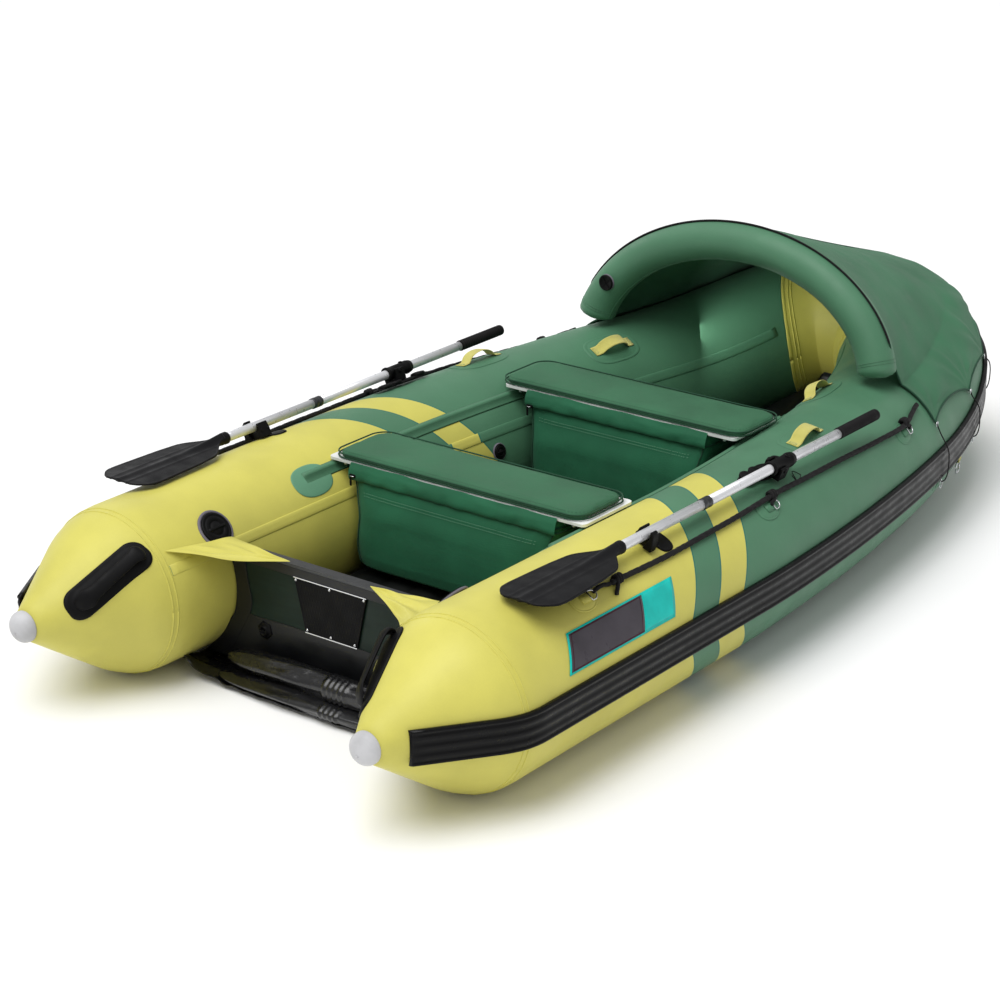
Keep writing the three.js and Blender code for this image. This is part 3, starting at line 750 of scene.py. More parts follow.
def seams(word, side):
    """Glued tapes: rings at the cone and the bow joint, and bands along the inner wall."""
    wall = steps_between(CONE_END + 0.03, BOW_SEAM - 0.02, 110)
    tape(f"{word}_wall_tape", wall, 152.5, 0.030, 0.0010, "tube_plain", side, "hull_fabric_green")
    tape(f"{word}_keel_tape", wall, -62, 0.030, 0.0008, "tube_plain", side, "hull_fabric_green")
    for k, s in enumerate((CONE_END + 0.009, CONE_END + 0.024)):
        ring_tape(f"{word}_cone_seam_{k}", s, 0.0045, 0.0009, "yellow", side)
    for k, gap in enumerate((0.004, 0.022, 0.034)):
        bow_tape(f"{word}_bow_seam_{k}", gap, 0.010 if k == 0 else 0.004, side)


def bow_tape(name, gap, width, side):
    """A tape along the slanted seam of the bow tube."""
    rings = []
    seam = bow_parameter(BOW_SEAM)
    for i in range(91):
        a = -180 + 4 * i
        ring = []
        for k, h in ((-1, 0.0), (-0.7, 1.0), (0.7, 1.0), (1, 0.0), (1, -2.0), (-1, -2.0)):
            t = min(seam + mitre(a) + (gap + k * width / 2) / 0.62, math.pi / 2)
            ring.append(mirrored(bow_frame(t).point(a, 0.0002 + 0.0009 * h), side))
        rings.append(ring)
    return piece(name, *closed_sweep(rings), "bow_yellow", "hull", "hull_fabric_yellow")


def ring_tape(name, s, width, lift, mat, side, start=-180, end=180):
    """A strip glued round the tube at one station."""
    rings = []
    n = 90
    for i in range(n + 1):
        a = start + (end - start) * i / n
        ring = []
        for k, h in ((-1, 0.0), (-0.7, 1.0), (0.7, 1.0), (1, 0.0), (1, -2.0), (-1, -2.0)):
            f = hull_frame(s + k * width / 2)
            ring.append(mirrored(f.point(a, 0.0004 + lift * h + wrinkle(f.station, a, side)), side))
        rings.append(ring)
    return piece(name, *closed_sweep(rings), mat, "hull", "hull_fabric_yellow")


def strake():
    """The rubbing strake: a rubber moulding with rounded lips and three ribs between grooves."""
    half = 0.046
    face = []
    for i in range(49):
        v = -half + 2 * half * i / 48
        u = abs(v) / half
        ribs = 0.0030 * (0.5 + 0.5 * math.cos(2 * math.pi * v / 0.0245)) if u < 0.80 else 0.0
        lip = 0.0030 if 0.80 <= u < 0.97 else 0.0
        edge = max(0.0, (u - 0.93) / 0.07) ** 2 * 0.0065
        face.append((0.0088 + ribs + lip - edge, v))
    back = [(-0.0035, half), (0.0002, 0.030), (0.0010, 0.0), (0.0002, -0.030), (-0.0035, -half)]
    profile = face + back
    stations = steps_between(0.096, CONE_END - CONE_SHOULDER, 6)
    stations += steps_between(CONE_END - CONE_SHOULDER, CONE_END + CONE_SHOULDER, 12)[1:]
    stations += steps_between(CONE_END + CONE_SHOULDER, BOW_START, 24)[1:]
    frames = [hull_frame(s) for s in stations] + [bow_frame(math.pi / 2 * i / 110) for i in range(1, 111)]

    def ring_of(f, side):
        middle = f.centre - Vector((0, MID, 0))
        return [mirrored(middle + f.out * (f.r + u) + f.up * v, side) for u, v in profile]

    rings = [ring_of(f, 1) for f in frames] + [ring_of(f, -1) for f in reversed(frames[:-1])]
    obj = piece("rubbing_strake_moulding", *closed_sweep(rings), "strake", "hull", "black_rubber")
    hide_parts("rubbing_strake")


def cone_cap(word, side):
    """The white cap on the end of a stern cone."""
    centre = Vector((side * TUBE_X, CAP_LENGTH - 0.008 - MID, TUBE_R + CONE_LIFT))
    profile = [(0.0, 0.009), (CAP_R - 0.003, 0.009), (CAP_R + 0.0006, 0.0075), (CAP_R + 0.0008, 0.003)]
    profile += [((CAP_R + 0.0004) * math.cos(a), -0.0295 * math.sin(a)) for a in
                (math.radians(90 * i / 12) for i in range(13))]
    obj = lathe(profile, centre, (0, 1, 0), "white", f"{word}_cap_dome", "hull", "white_plastic", 48)
    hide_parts(f"{word}_cone_cap")
    screw = [(0.0, 0.0), (0.0026, 0.0002), (0.0034, 0.0012), (0.0026, 0.0022), (0.0, 0.0024)]
    place = centre + Vector((0, -0.0285, -0.010))
    lathe(screw, place, (0, -1, -0.35), "white", f"{word}_cap_nub", "hull", "white_plastic", 16)


MAT["tube_plain"] = MAT["tube"]
for word, side in SIDES:
    side_tube(word, side)
    cone_cap(word, side)
bow_tube()
strake()


# ---- transom, floor and bottom ----
TRANSOM_Y = 0.576 - MID
TRANSOM_T = 0.024
TRANSOM_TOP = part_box("transom_board")[1].z


def between(z, margin):
    """Half the width between the tubes at a height."""
    return TUBE_X - math.sqrt(max(0.0, (TUBE_R + 0.002) ** 2 - (TUBE_R - z) ** 2)) - margin


def dress(node, mat, bevel=0.0, segments=2):
    """A CAD node whose shape is right: its own material and softened edges."""
    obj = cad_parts[node]
    obj.data.materials.clear()
    obj.data.materials.append(MAT[mat])
    if bevel:
        modify(obj, "BEVEL", width=bevel, segments=segments, limit_method="ANGLE",
               angle_limit=math.radians(35))
        modify(obj, "WEIGHTED_NORMAL")
        for polygon in obj.data.polygons:
            polygon.use_smooth = True


def front_plate(name, outline, y0, y1, mat, slot, bevel=0.0008, body="hull"):
    """A plate in the X-Z plane between two distances along Y."""
    verts, faces = closed_sweep([[Vector((x, y0, z)) for x, z in outline],
                                 [Vector((x, y1, z)) for x, z in outline]])
    return bevelled(piece(name, verts, faces, mat, body, slot, smooth=False), bevel)


def transom():
    """The board, its cap and the strips of skin that hold it between the tubes."""
    dress("transom_board", "board", 0.002)
    dress("transom_cap", "cap_alloy", 0.0012)
    dress("motor_pad_inner", "black", 0.0015)
    for word, side in SIDES:
        edge = [(side * between(z, 0.0052), z) for z in steps_between(0.030, TRANSOM_TOP - 0.030, 12)]
        inner = [(x - side * (0.050 + 0.006 * math.sin(z * 40)), z) for x, z in reversed(edge)]
        for k, (a, b) in enumerate(((-0.0032, 0.0004), (TRANSOM_T - 0.0004, TRANSOM_T + 0.0030))):
            front_plate(f"{word}_transom_strip_{k}", edge + inner, TRANSOM_Y + a, TRANSOM_Y + b,
                        "pvc_strip", "black_rubber")
    low = [(x, 0.026) for x in steps_between(-between(0.026, 0.012), between(0.026, 0.012), 20)]
    high = [(x, 0.172 + 0.0015 * math.sin(x * 31)) for x in
            steps_between(between(0.172, 0.012), -between(0.172, 0.012), 20)]
    front_plate("transom_foot_strip", low + high, TRANSOM_Y - 0.0024, TRANSOM_Y + 0.0002, "pvc_strip",
                "black_rubber")
    front_plate("transom_foot_strip_inner", low + high, TRANSOM_Y + TRANSOM_T - 0.0002,
                TRANSOM_Y + TRANSOM_T + 0.0024, "pvc_strip", "black_rubber")
    span = between(0.338, 0.010)
    band = [(-span, 0.322), (span, 0.322), (span, 0.3475), (-span, 0.3475)]
    front_plate("transom_cap_band", band, TRANSOM_Y - 0.0052, TRANSOM_Y - 0.0036, "pvc_strip",
                "black_rubber")
    motor_pad()
    drain_plug()


def motor_pad():
    """The outboard's clamp pad: a rim with bright edges round a field of small raised cells."""
    y = TRANSOM_Y - 0.0036
    across, up = 132, 78
    verts, faces = [], []

    def half(z):
        return 0.090 + 0.036 * (z - 0.172) / 0.152

    for j in range(up + 1):
        z = 0.172 + 0.152 * j / up
        for i in range(across + 1):
            u = i / across * 2 - 1
            x = half(z) * u
            rim = min(half(z) * (1 - abs(u)), z - 0.172, 0.324 - z)
            row = round(z / 0.0052)
            cell = math.cos(2 * math.pi * (x / 0.0092
                                           + 0.5 * (row % 2))) * math.cos(2 * math.pi * (z / 0.0052))
            raised = 0.0030 if rim < 0.005 else 0.0016 + 0.0011 * max(-0.3, min(0.6, cell))
            verts.append((x, y - (0.0 if rim < 1e-6 else raised), z))
    faces = strip_faces(up + 1, across + 1, False)
    obj = piece("motor_pad_plate", verts, faces, "black", "hull", "black_plastic")
    modify(obj, "SOLIDIFY", thickness=0.0028, offset=-1.0)
    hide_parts("motor_pad_outer")
    for k, (z, w) in enumerate(((0.1735, 0.0895), (0.3225, 0.1255))):
        outline = [(-w, z - 0.0016), (w, z - 0.0016), (w, z + 0.0016), (-w, z + 0.0016)]
        front_plate(f"motor_pad_edge_{k}", outline, y - 0.0042, y - 0.0010, "steel", "steel", 0.0005)
    for k, (x, z) in enumerate(((-0.117, 0.316), (0.0, 0.316), (0.117, 0.316), (-0.082, 0.181),
                                (0.0, 0.181), (0.082, 0.181))):
        screw(f"motor_pad_screw_{k}", (x, y - 0.0032, z), (0, -1, 0), 0.0036)


def screw(name, place, axis, r, body="hull", slot="steel", mat="steel"):
    """A round-headed screw."""
    profile = [(0.0, 0.0), (r * 1.08, 0.0), (r * 1.12, r * 0.2), (r * 0.9, r * 0.55),
               (r * 0.45, r * 0.72), (r * 0.34, r * 0.40), (0.0, r * 0.38)]
    return lathe(profile, place, axis, mat, name, body, slot, 20)


def drain_plug():
    """The hexagonal flange of the drain, its turning plug and the studs round it."""
    low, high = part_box("drain_plug")
    centre = Vector(((low.x + high.x) / 2, high.y, (low.z + high.z) / 2))
    profile = [(0.0, 0.0), (0.0255, 0.0), (0.0265, 0.0010), (0.0265, 0.0040), (0.0238, 0.0056),
               (0.0170, 0.0060), (0.0156, 0.0118), (0.0146, 0.0128), (0.0118, 0.0128), (0.0112, 0.0080),
               (0.0, 0.0078)]
    obj = lathe(profile, centre, (0, -1, 0), "black", "drain_plug_body", "drain_plug_body",
                "black_plastic", 6)
    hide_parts("drain_plug")
    bar = [(centre.x + x, centre.z + z) for x, z in rounded_rectangle(0.0215, 0.0058, 0.0024, 4)]
    front_plate("drain_plug_bar", bar, centre.y - 0.0122, centre.y - 0.0070, "black", "black_plastic",
                0.0008, "drain_plug_body")
    for k in range(6):
        a = math.radians(60 * k + 30)
        p = centre + Vector((math.cos(a) * 0.0189, -0.0038, math.sin(a) * 0.0189))
        lathe([(0, 0), (0.0016, 0), (0.0018, 0.0012), (0.0008, 0.0020), (0, 0.0020)], p, (0, -1, 0),
              "black", f"drain_plug_stud_{k}", "drain_plug_body", "black_plastic", 12)


def air_floor():
    """The inflatable floor: lengthwise chambers that give it a quilted top."""
    start = TRANSOM_Y + TRANSOM_T + 0.010 + MID
    bow = bow_parameter(BOW_START + 0.001)
    frames = [hull_frame(s) for s in steps_between(start, BOW_START, 24)]
    frames += [bow_frame(bow + (1.50 - bow) * i / 60) for i in range(1, 61)]
    rings = []
    for f in frames:
        half = f.centre.x - (f.out * 0.210).x
        if half < 0.02:
            break
        rise = f.centre.z - TUBE_R
        across = 96
        ring = []
        for i in range(across + 1):
            x = half * (2 * i / across - 1)
            quilt = 0.010 * abs(math.cos(math.pi * x / 0.094)) ** 0.55
            edge = min(1.0, (half - abs(x)) / 0.030)
            z = 0.030 + (0.080 + quilt) * math.sqrt(max(0.0, edge * (2 - edge)))
            ring.append(Vector((x, f.centre.y - f.out.y * 0.210 - MID, z + rise)))
        ring += [Vector((half * 0.98, ring[0].y, 0.018 + rise)),
                 Vector((-half * 0.98, ring[0].y, 0.018 + rise))]
        rings.append(ring)
    obj = piece("air_floor", *closed_sweep(rings), "floor", "hull", "black_rubber")
    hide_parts("inflatable_floor")


def bottom_skin():
    """The hull's bottom skin between the tubes, slack and creased behind the transom."""
    frames = [hull_frame(s) for s in steps_between(0.452, 0.66, 40)]
    frames += [hull_frame(s) for s in steps_between(0.66, BOW_START, 20)[1:]]
    frames += [bow_frame(bow_parameter(BOW_START + 0.001) + (1.50 - 0.02) * i / 50) for i in range(1, 51)]
    verts, columns, rows = [], 81, 0
    for f in frames:
        half = f.centre.x - 0.098 * f.out.x
        if half < 0.03:
            break
        rows += 1
        slack = max(0.0, 1 - (f.station - 0.452) / 0.11)
        for i in range(columns):
            x = half * (2 * i / (columns - 1) - 1)
            corner = max(0.0, (abs(x) - 0.28) / 0.21)
            fold = abs(math.sin(abs(x) * 26 + f.station * 34
                                + 1.5 * noise(Vector((x * 7, f.station * 9, 1))))) ** 1.6
            z = 0.0095 + f.centre.z - TUBE_R
            z += slack * (0.036 * corner * fold + 0.008 * noise(Vector((x * 22, f.station * 22, 4))))
            z += slack * corner * 0.030
            verts.append((x, f.centre.y - MID - 0.10 * f.out.y, max(0.0035 + f.centre.z - TUBE_R, z)))
    obj = piece("bottom_skin", verts, strip_faces(rows, columns, False), "vinyl", "hull", "black_rubber")
    modify(obj, "SOLIDIFY", thickness=0.0022, offset=0.0)
    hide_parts("hull_bottom")


def roll(name, half, centre_s, centre_z, height, depth, bands, twist):
    """A rolled-up skirt of skin: a flattened roll with pinched ends, lengthwise folds and ribbed bands."""
    rings = []
    n, m = 150, 56
    for i in range(n + 1):
        x = half * (2 * i / n - 1)
        u = abs(x) / half
        swell = (1 - u**5) ** 0.5 * (1 - 0.16 * u * u)
        band = sum(1 for a, b in bands if a < x < b)
        rib = 0.0035 * abs(math.sin(math.pi * (x - bands[0][0]) / 0.017)) if band else 0.0
        ring = []
        for k in range(m):
            a = 2 * math.pi * k / m
            crumple = noise(Vector((x * 9, math.cos(a) * 1.6, math.sin(a) * 1.6)))
            folds = 0.0026 * math.sin(5 * a + x * twist) + 0.0030 * crumple
            r = swell * (1 + (folds * (0.3 if band else 1.0) + rib) / depth)
            sag = 0.006 * (x / half) ** 2
            ring.append(Vector((x, centre_s - MID + math.cos(a) * depth * r,
                                centre_z - sag + math.sin(a) * height * r)))
        rings.append(ring)
    return piece(name, *closed_sweep(rings), "vinyl", "hull", "black_rubber")


def keel_rolls():
    """The two folds of the bottom's skin behind the transom."""
    upper = roll("keel_roll_upper", 0.318, 0.5125, 0.073, 0.035, 0.041, ((0.045, 0.130),), 9.0)
    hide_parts("keel_roll")
    roll("keel_roll_lower", 0.330, 0.486, 0.027, 0.021, 0.044, ((0.055, 0.125),), 6.0)


def splash_flap(word, side):
    """A flap of coated fabric from the tube's shoulder to the transom's corner."""
    corner = Vector((side * 0.137, 0.572 - MID, 0.3615))
    rows, columns = 36, 30
    verts = []
    for i in range(rows + 1):
        t = i / rows
        s = 0.374 + 0.226 * t
        over_valve = math.exp(-(((s - 0.572) / 0.034) ** 2))
        start, _ = surface(s, 139 + 9 * t, 0.003 + 0.015 * over_valve, side)
        for j in range(columns + 1):
            w = j / columns
            p = start.lerp(corner, w ** (1.0 + 0.15 * (1 - t)))
            belly = math.sin(math.pi * w)
            p.y += (1 - t) * 0.022 * belly
            p.z -= 0.010 * belly * (1 - 0.5 * t)
            crease = noise(Vector((t * 5.0, w * 2.2, side * 9.0))) * 0.008
            crease += abs(math.sin(9 * t + 3 * w + 1)) ** 3 * 0.005
            p.z += crease * belly**0.7
            p.z -= (1 - t) ** 6 * 0.010 * belly
            verts.append(p)
    obj = piece(f"{word}_flap_sheet", verts, strip_faces(rows + 1, columns + 1, False), "yellow", "hull",
                "yellow_webbing")
    modify(obj, "SOLIDIFY", thickness=0.0014, offset=0.0)
    modify(obj, "SUBSURF", levels=1, render_levels=1)
    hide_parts(f"{word}_splash_flap")


transom()
air_floor()
bottom_skin()
keel_rolls()
for word, side in SIDES:
    splash_flap(word, side)
    seams(word, side)


# ---- seats ----
# Half widths of each bag: at its top, then across its after and fore faces lower down.
SEATS = {"aft": (0.362, 0.336, 0.336), "fore": (0.326, 0.308, 0.278)}


def pillow(name, outline, z0, z1, y, swell, mat, body, slot):
    """A stuffed pad on a rounded outline, filled by cloth pressure."""
    shrink = 0.994
    layers = 4
    rings = [[Vector((u * shrink, y + v * shrink, z0 + 0.001 + (z1 - z0 - 0.003) * k / layers))
              for u, v in outline]
             for k in range(layers + 1)]
    obj = piece(name, *closed_sweep(rings), mat, body, slot)
    modify(obj, "REMESH", mode="VOXEL", voxel_size=0.006)
    apply_modifiers(obj)
    before = np.array([v.co[:] for v in obj.data.vertices])
    cloth = modify(obj, "CLOTH")
    cloth.settings.quality = 5
    cloth.settings.use_pressure = True
    cloth.settings.uniform_pressure_force = 4.0
    cloth.settings.effector_weights.gravity = 0.0
    cloth.settings.tension_stiffness = 18
    cloth.settings.bending_stiffness = 4
    for step in range(1, 21):
        SCENE.frame_set(step)
    apply_modifiers(obj)
    SCENE.frame_set(1)
    after = np.array([v.co[:] for v in obj.data.vertices])
    moved = after - before
    size = np.linalg.norm(moved, axis=1)
    moved *= np.minimum(1.0, swell / np.maximum(size, 1e-9))[:, None]
    # The pad is flat where it rests on its plank.
    resting = np.clip((before[:, 2] - z0 - 0.002) / 0.006, 0.0, 1.0)
    moved[:, 2] *= resting
    obj.data.vertices.foreach_set("co", (before + moved).ravel())
    obj.data.update()
    modify(obj, "SUBSURF", levels=1, render_levels=1)
    for polygon in obj.data.polygons:
        polygon.use_smooth = True
    return obj


def apply_modifiers(obj):
    """Turn the simulated cloth into a plain mesh."""
    graph = bpy.context.evaluated_depsgraph_get()
    mesh = bpy.data.meshes.new_from_object(obj.evaluated_get(graph), preserve_all_data_layers=True,
                                           depsgraph=graph)
    obj.modifiers.clear()
    obj.data = mesh


def stitches(name, points, normal, length, gap, mat, body, slot, r=0.0006):
    """A row of short threads laid along a line, as one mesh."""
    path = [Vector(p) for p in points]
    verts, faces, carry = [], [], 0.0
    normal = Vector(normal).normalized()
    for a, b in zip(path, path[1:]):
        span = (b - a).length
        if span < 1e-6:
            continue
        along = (b - a) / span
        across = along.cross(normal).normalized()
        while carry + length < span:
            start = a + along * carry
            ring = []
            for k, lift in ((0.0, -r), (0.25, r), (0.75, r), (1.0, -r)):
                centre = start + along * (length * k) + normal * lift
                ring += [centre + across * r, centre + normal * r, centre - across * r,
                         centre - normal * r]
            first = len(verts)
            verts += ring
            faces += strip_faces(4, 4, True, first)
            faces += [(first + 3, first + 2, first + 1, first),
                      (first + 12, first + 13, first + 14, first + 15)]
            carry += length + gap
        carry -= span
        carry = max(0.0, carry)
    return piece(name, verts, faces, mat, body, slot)


def seat(name, low_half, mid_half, top_half):
    """One bench: plank, cushion, brackets and the bag under it."""
    body = f"{name}_seat"
    dress(f"{name}_seat_plank", "plank", 0.0022, 3)
    low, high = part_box(f"{name}_seat_cushion")
    y = (low.y + high.y) / 2
    width, depth = high.x - low.x, high.y - low.y
    outline = rounded_rectangle(width, depth, 0.050, 10)
    pad = pillow(f"{name}_cushion_pad", outline, low.z + 0.0005, high.z + 0.001, y, 0.006, "cushion",
                 body, "green_canvas")
    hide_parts(f"{name}_seat_cushion")
    edge = rounded_rectangle(width + 0.001, depth + 0.001, 0.050, 12)
    for k, (z, grow) in enumerate(((high.z - 0.0015, 0.0004), (low.z + 0.0045, 0.0012))):
        ring = [Vector((u * (1 + grow), y + v * (1 + grow * 3),
                        z + 0.0010 * noise(Vector((u * 6, v * 6, k * 7))))) for u, v in edge]
        hoop(f"{name}_cushion_piping_{k}", ring, 0.0023, "piping", body, "green_canvas")
    top = rounded_rectangle(width - 0.022, depth - 0.022, 0.042, 12)
    stitches(f"{name}_cushion_stitches", [Vector((u, y + v, high.z + 0.0030)) for u, v in top + top[:1]],
             (0, 0, 1),
             0.0045, 0.0030, "piping", body, "green_canvas", 0.0005)
    seat_bag(name, body, low_half, mid_half, top_half)
    brackets(name, body)


def hoop(name, ring, radius, mat, body, slot, sides=8):
    """A cord that closes on itself."""
    n = len(ring)
    verts = []
    for i, p in enumerate(ring):
        t = (ring[(i + 1) % n] - ring[i - 1]).normalized()
        u = t.cross(Vector((0, 0, 1)))
        u = u.normalized() if u.length > 1e-6 else t.orthogonal()
        v = t.cross(u)
        verts += [p + (u * math.cos(a) + v * math.sin(a)) * radius for a in round_angles(sides)]
    faces = strip_faces(n, sides)
    last = (n - 1) * sides
    faces += [(last + k, last + (k + 1) % sides, (k + 1) % sides, k) for k in range(sides)]
    return piece(name, verts, faces, mat, body, slot)


def brackets(name, body):
    """White end clips under the plank, with the knobs that hold it on the seat rails."""
    low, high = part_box(f"{name}_seat_plank")
    for word, side in SIDES:
        x = side * (high.x - 0.047)
        for k, y in enumerate((low.y + 0.020, high.y - 0.020)):
            profile = [(0.0, 0.0), (0.0065, 0.0), (0.0072, 0.002), (0.0072, 0.006), (0.0048, 0.008),
                       (0.0048, 0.012), (0.0028, 0.0135), (0.0, 0.0138)]
            lathe(profile, (x, y, low.z - 0.0002), (0, 0, -1), "plank", f"{name}_{word}_clip_{k}", body,
                  "white_plank", 20)


def bag_ring(name, z, low, high, halves, grow=0.0, count=150):
    """A level section of the filled bag, drawn in between the tubes and standing out past the plank."""
    top, aft, fore = halves
    spread = min(1.0, max(0.0, (z - 0.300) / 0.095)) ** 1.4
    foot = min(1.0, max(0.0, (z - low.z) / 0.045)) ** 0.5
    reach = 0.125 + 0.022 * (1 - spread) * (0.45 + 0.55 * foot)
    narrow = 0.010 * (1 - foot)
    middle = (low.y + high.y) / 2
    fill = math.sin(math.pi * min(1.0, max(0.0, (z - low.z) / (high.z - low.z)))) ** 0.6
    ring = []
    for u, v in ellipse(2, 2, count, 11.0):
        half = aft + (fore - aft) * (v + 1) / 2
        x = u * (half + (top - half) * spread - narrow + grow)
        y = v * (reach + grow)
        seed = 1 if name == "aft" else 9
        crease = noise(Vector((x * 5.5, y * 5.5 + z * 3, z * 7 + seed))) * 0.0045
        slant = noise(Vector(((x + z * 0.8) * 9, y * 3, (z - x * 0.35) * 16))) * 0.0028
        gather = abs(math.sin(x * 62 + 5 * noise(Vector((x * 8, z * 5, seed))))) * 0.0022 * spread**2
        swell = (crease + slant) * (0.35 + 0.65 * fill) - 0.0030 * (1 - fill) - gather
        ring.append(Vector((x + u * swell, middle + y + v * swell, z)))
    return ring


def seat_bag(name, body, *halves):
    """The bag slung under the plank: soft walls, a zip under a flap along its top, and piped corners."""
    low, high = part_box(f"{name}_seat_bag")
    levels = [low.z + (high.z - 0.002 - low.z) * (i / 64) for i in range(65)]
    rings = [bag_ring(name, z, low, high, halves, -0.002) for z in levels]
    squeeze = [0.80, 0.93, 0.975]
    for k, f in enumerate(squeeze):
        centre = sum(rings[k], Vector()) / len(rings[k])
        rings[k] = [centre + (p - centre) * f for p in rings[k]]
        for p in rings[k]:
            p.z += 0.002 * (2 - k)
    obj = piece(f"{name}_bag_shell", *closed_sweep(rings), "bag", body, "green_canvas")
    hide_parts(f"{name}_seat_bag")
    bag_trim(name, body, low, high, halves)


def bag_flap(name, body, way, middle, top, half):
    """The bag's gathered upper edge, held up against the side of the plank."""
    verts, columns = [], 130
    for drop, out in ((-0.0135, 0.1150), (-0.0060, 0.1185), (0.0020, 0.1240), (0.0100, 0.1262),
                      (0.0200, 0.1285), (0.0290, 0.1272), (0.0340, 0.1245)):
        for i in range(columns + 1):
            x = half * (2 * i / columns - 1) * 0.995
            pucker = noise(Vector((x * 14, drop * 60, way * 4.0))) * 0.0030
            pucker += abs(math.sin(x * 41
                                   + 2 * noise(Vector((x * 6, drop * 20,
                                                       3))))) * 0.0022 * max(0.0, drop) / 0.03
            verts.append((x, middle + way * (out + pucker),
                          top - drop + 0.0024 * noise(Vector((x * 10, way, drop * 30)))))
    obj = piece(name, verts, strip_faces(7, columns + 1, False), "bag", body, "green_canvas")
    modify(obj, "SOLIDIFY", thickness=0.0014, offset=0.0)
    modify(obj, "SUBSURF", levels=1, render_levels=1)


def bag_trim(name, body, low, high, halves):
    """Zip flap, zip tape, stitched seams and corner piping of one bag."""
    count = 150
    for k, way in enumerate((-1, 1)):
        bag_flap(f"{name}_bag_flap_{k}", body, way, (low.y + high.y) / 2, high.z, halves[0])
    zip_ring = bag_ring(name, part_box(f"{name}_zip_slider")[0].z + 0.005, low, high, halves, 0.0012, count)
    hoop(f"{name}_bag_zip", zip_ring, 0.0026, "zip", body, "green_canvas", 6)
    for k, (z, grow) in enumerate(((high.z - 0.034, 0.0012), (high.z - 0.062, 0.0004),
                                   (high.z - 0.070, 0.0004))):
        ring = bag_ring(name, z, low, high, halves, grow, count)
        if k == 0:
            hoop(f"{name}_bag_seam_{k}", ring, 0.0016, "piping", body, "green_canvas", 6)
        else:
            aft = [p + Vector((0, -0.0008, 0)) for p in ring[count // 2:]]
            stitches(f"{name}_bag_stitches_{k}", aft, (0, -1, 0), 0.0045, 0.0028, "thread", body,
                     "green_canvas", 0.0006)
    for word, side in SIDES:
        for k, fore in enumerate((-1, 1)):
            line = []
            for i in range(30):
                z = low.z + 0.012 + (high.z - low.z - 0.045) * i / 29
                ring = bag_ring(name, z, low, high, halves, 0.0004, 40)
                corner = max(ring, key=lambda p: side * p.x + fore * (p.y - (low.y + high.y) / 2) * 1.6)
                line.append(corner)
            smooth = [sum((line[min(29, max(0, i + d))] for d in (-2, -1, 0, 1, 2)), Vector()) / 5
                      for i in range(30)]
            round_cord(f"{name}_{word}_bag_piping_{k}", smooth, 0.0020, "piping", body, "green_canvas", 8)


def zip_slider(name):
    """The zip's slider: a body with a bridge, and a pull that hangs from it."""
    low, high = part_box(f"{name}_zip_slider")
    c = (low + high) / 2
    outline = [(c.x + u, c.z + v) for u, v in rounded_rectangle(0.022, 0.0105, 0.0035, 4)]
    body = front_plate(f"{name}_slider_body", outline, low.y + 0.0012, high.y, "black", "black_plastic",
                       0.0012, f"{name}_zip")
    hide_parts(f"{name}_zip_slider")
    bridge = [Vector((c.x + 0.007 * math.cos(a), low.y + 0.0010 - 0.0036 * math.sin(a), c.z)) for a in
              (math.pi * i / 14 for i in range(15))]
    round_cord(f"{name}_slider_bridge", bridge, 0.0011, "steel", f"{name}_zip", "black_plastic", 10)
    pull = [(c.x - 0.004 + u, c.z - 0.014 + v) for u, v in rounded_rectangle(0.0075, 0.030, 0.003, 4)]
    front_plate(f"{name}_slider_pull", pull, low.y - 0.0022, low.y - 0.0008, "black", "black_plastic",
                0.0006, f"{name}_zip")


def seat_rail(word, side):
    """The sleeve along the tube that a bench slides on: a thick lip with patched ends."""
    stations = steps_between(0.952, 2.178, 90)
    rings = []
    for s in stations:
        f = hull_frame(s)
        ring = []
        for v, lift in ((-0.020, 0.0004), (-0.016, 0.0016), (-0.003, 0.0018), (0.001, 0.0068),
                        (0.006, 0.0084), (0.012, 0.0074), (0.015, 0.0022), (0.019, 0.0004),
                        (0.010, -0.002), (-0.010, -0.002)):
            ring.append(mirrored(f.point(131 - math.degrees(v / f.r), lift), side))
        rings.append(ring)
    obj = piece(f"{word}_rail_sleeve", *closed_sweep(rings), "green", "hull", "hull_fabric_green")
    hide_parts(f"{word}_seat_rail")
    place = on_tube(0.975, 134, side)
    patch(f"{word}_rail_patch", place, ellipse(0.150, 0.100, 44, 2.3), "patch_green", "hull",
          "hull_fabric_green")
    tab = on_tube(2.195, 133, side)
    leaf = [(-0.05, -0.016), (0.02, -0.018), (0.045, -0.004), (0.020, 0.014), (-0.05, 0.016)]
    patch(f"{word}_rail_end", tab, leaf, "green", "hull", "hull_fabric_green")


for name, halves in SEATS.items():
    seat(name, *halves)
    zip_slider(name)
for word, side in SIDES:
    seat_rail(word, side)


# ---- oars and rowlocks ----
def skin(s, degrees, lift, side):
    """A point on the tube's skin, or a little above it."""
    return surface(s, degrees, lift, side)[0]


ROWLOCK = Vector((0.680, 1.645 - MID, 0.492))
KEEPER_Y = 1.040 - MID
LEAN = math.radians(21)


def leaning(x, y, z, side):
    """A point of the rowlock's own frame, which leans outboard with its pin."""
    c, s = math.cos(LEAN), math.sin(LEAN)
    return mirrored(Vector((ROWLOCK.x + c * x + s * z, ROWLOCK.y + y, ROWLOCK.z - s * x + c * z)), side)


def lean_way(x, y, z, side):
    """A direction of the rowlock's own frame."""
    return leaning(x, y, z, side) - leaning(0, 0, 0, side)


def rod(name, profile, side, mat, body, slot, segments=32):
    """A round bar along the stowed oar; profile is (radius, distance along Y from the pin)."""
    origin = leaning(0, 0, 0, side)
    return lathe(profile, origin, (0, 1, 0), mat, name, body, slot, segments)


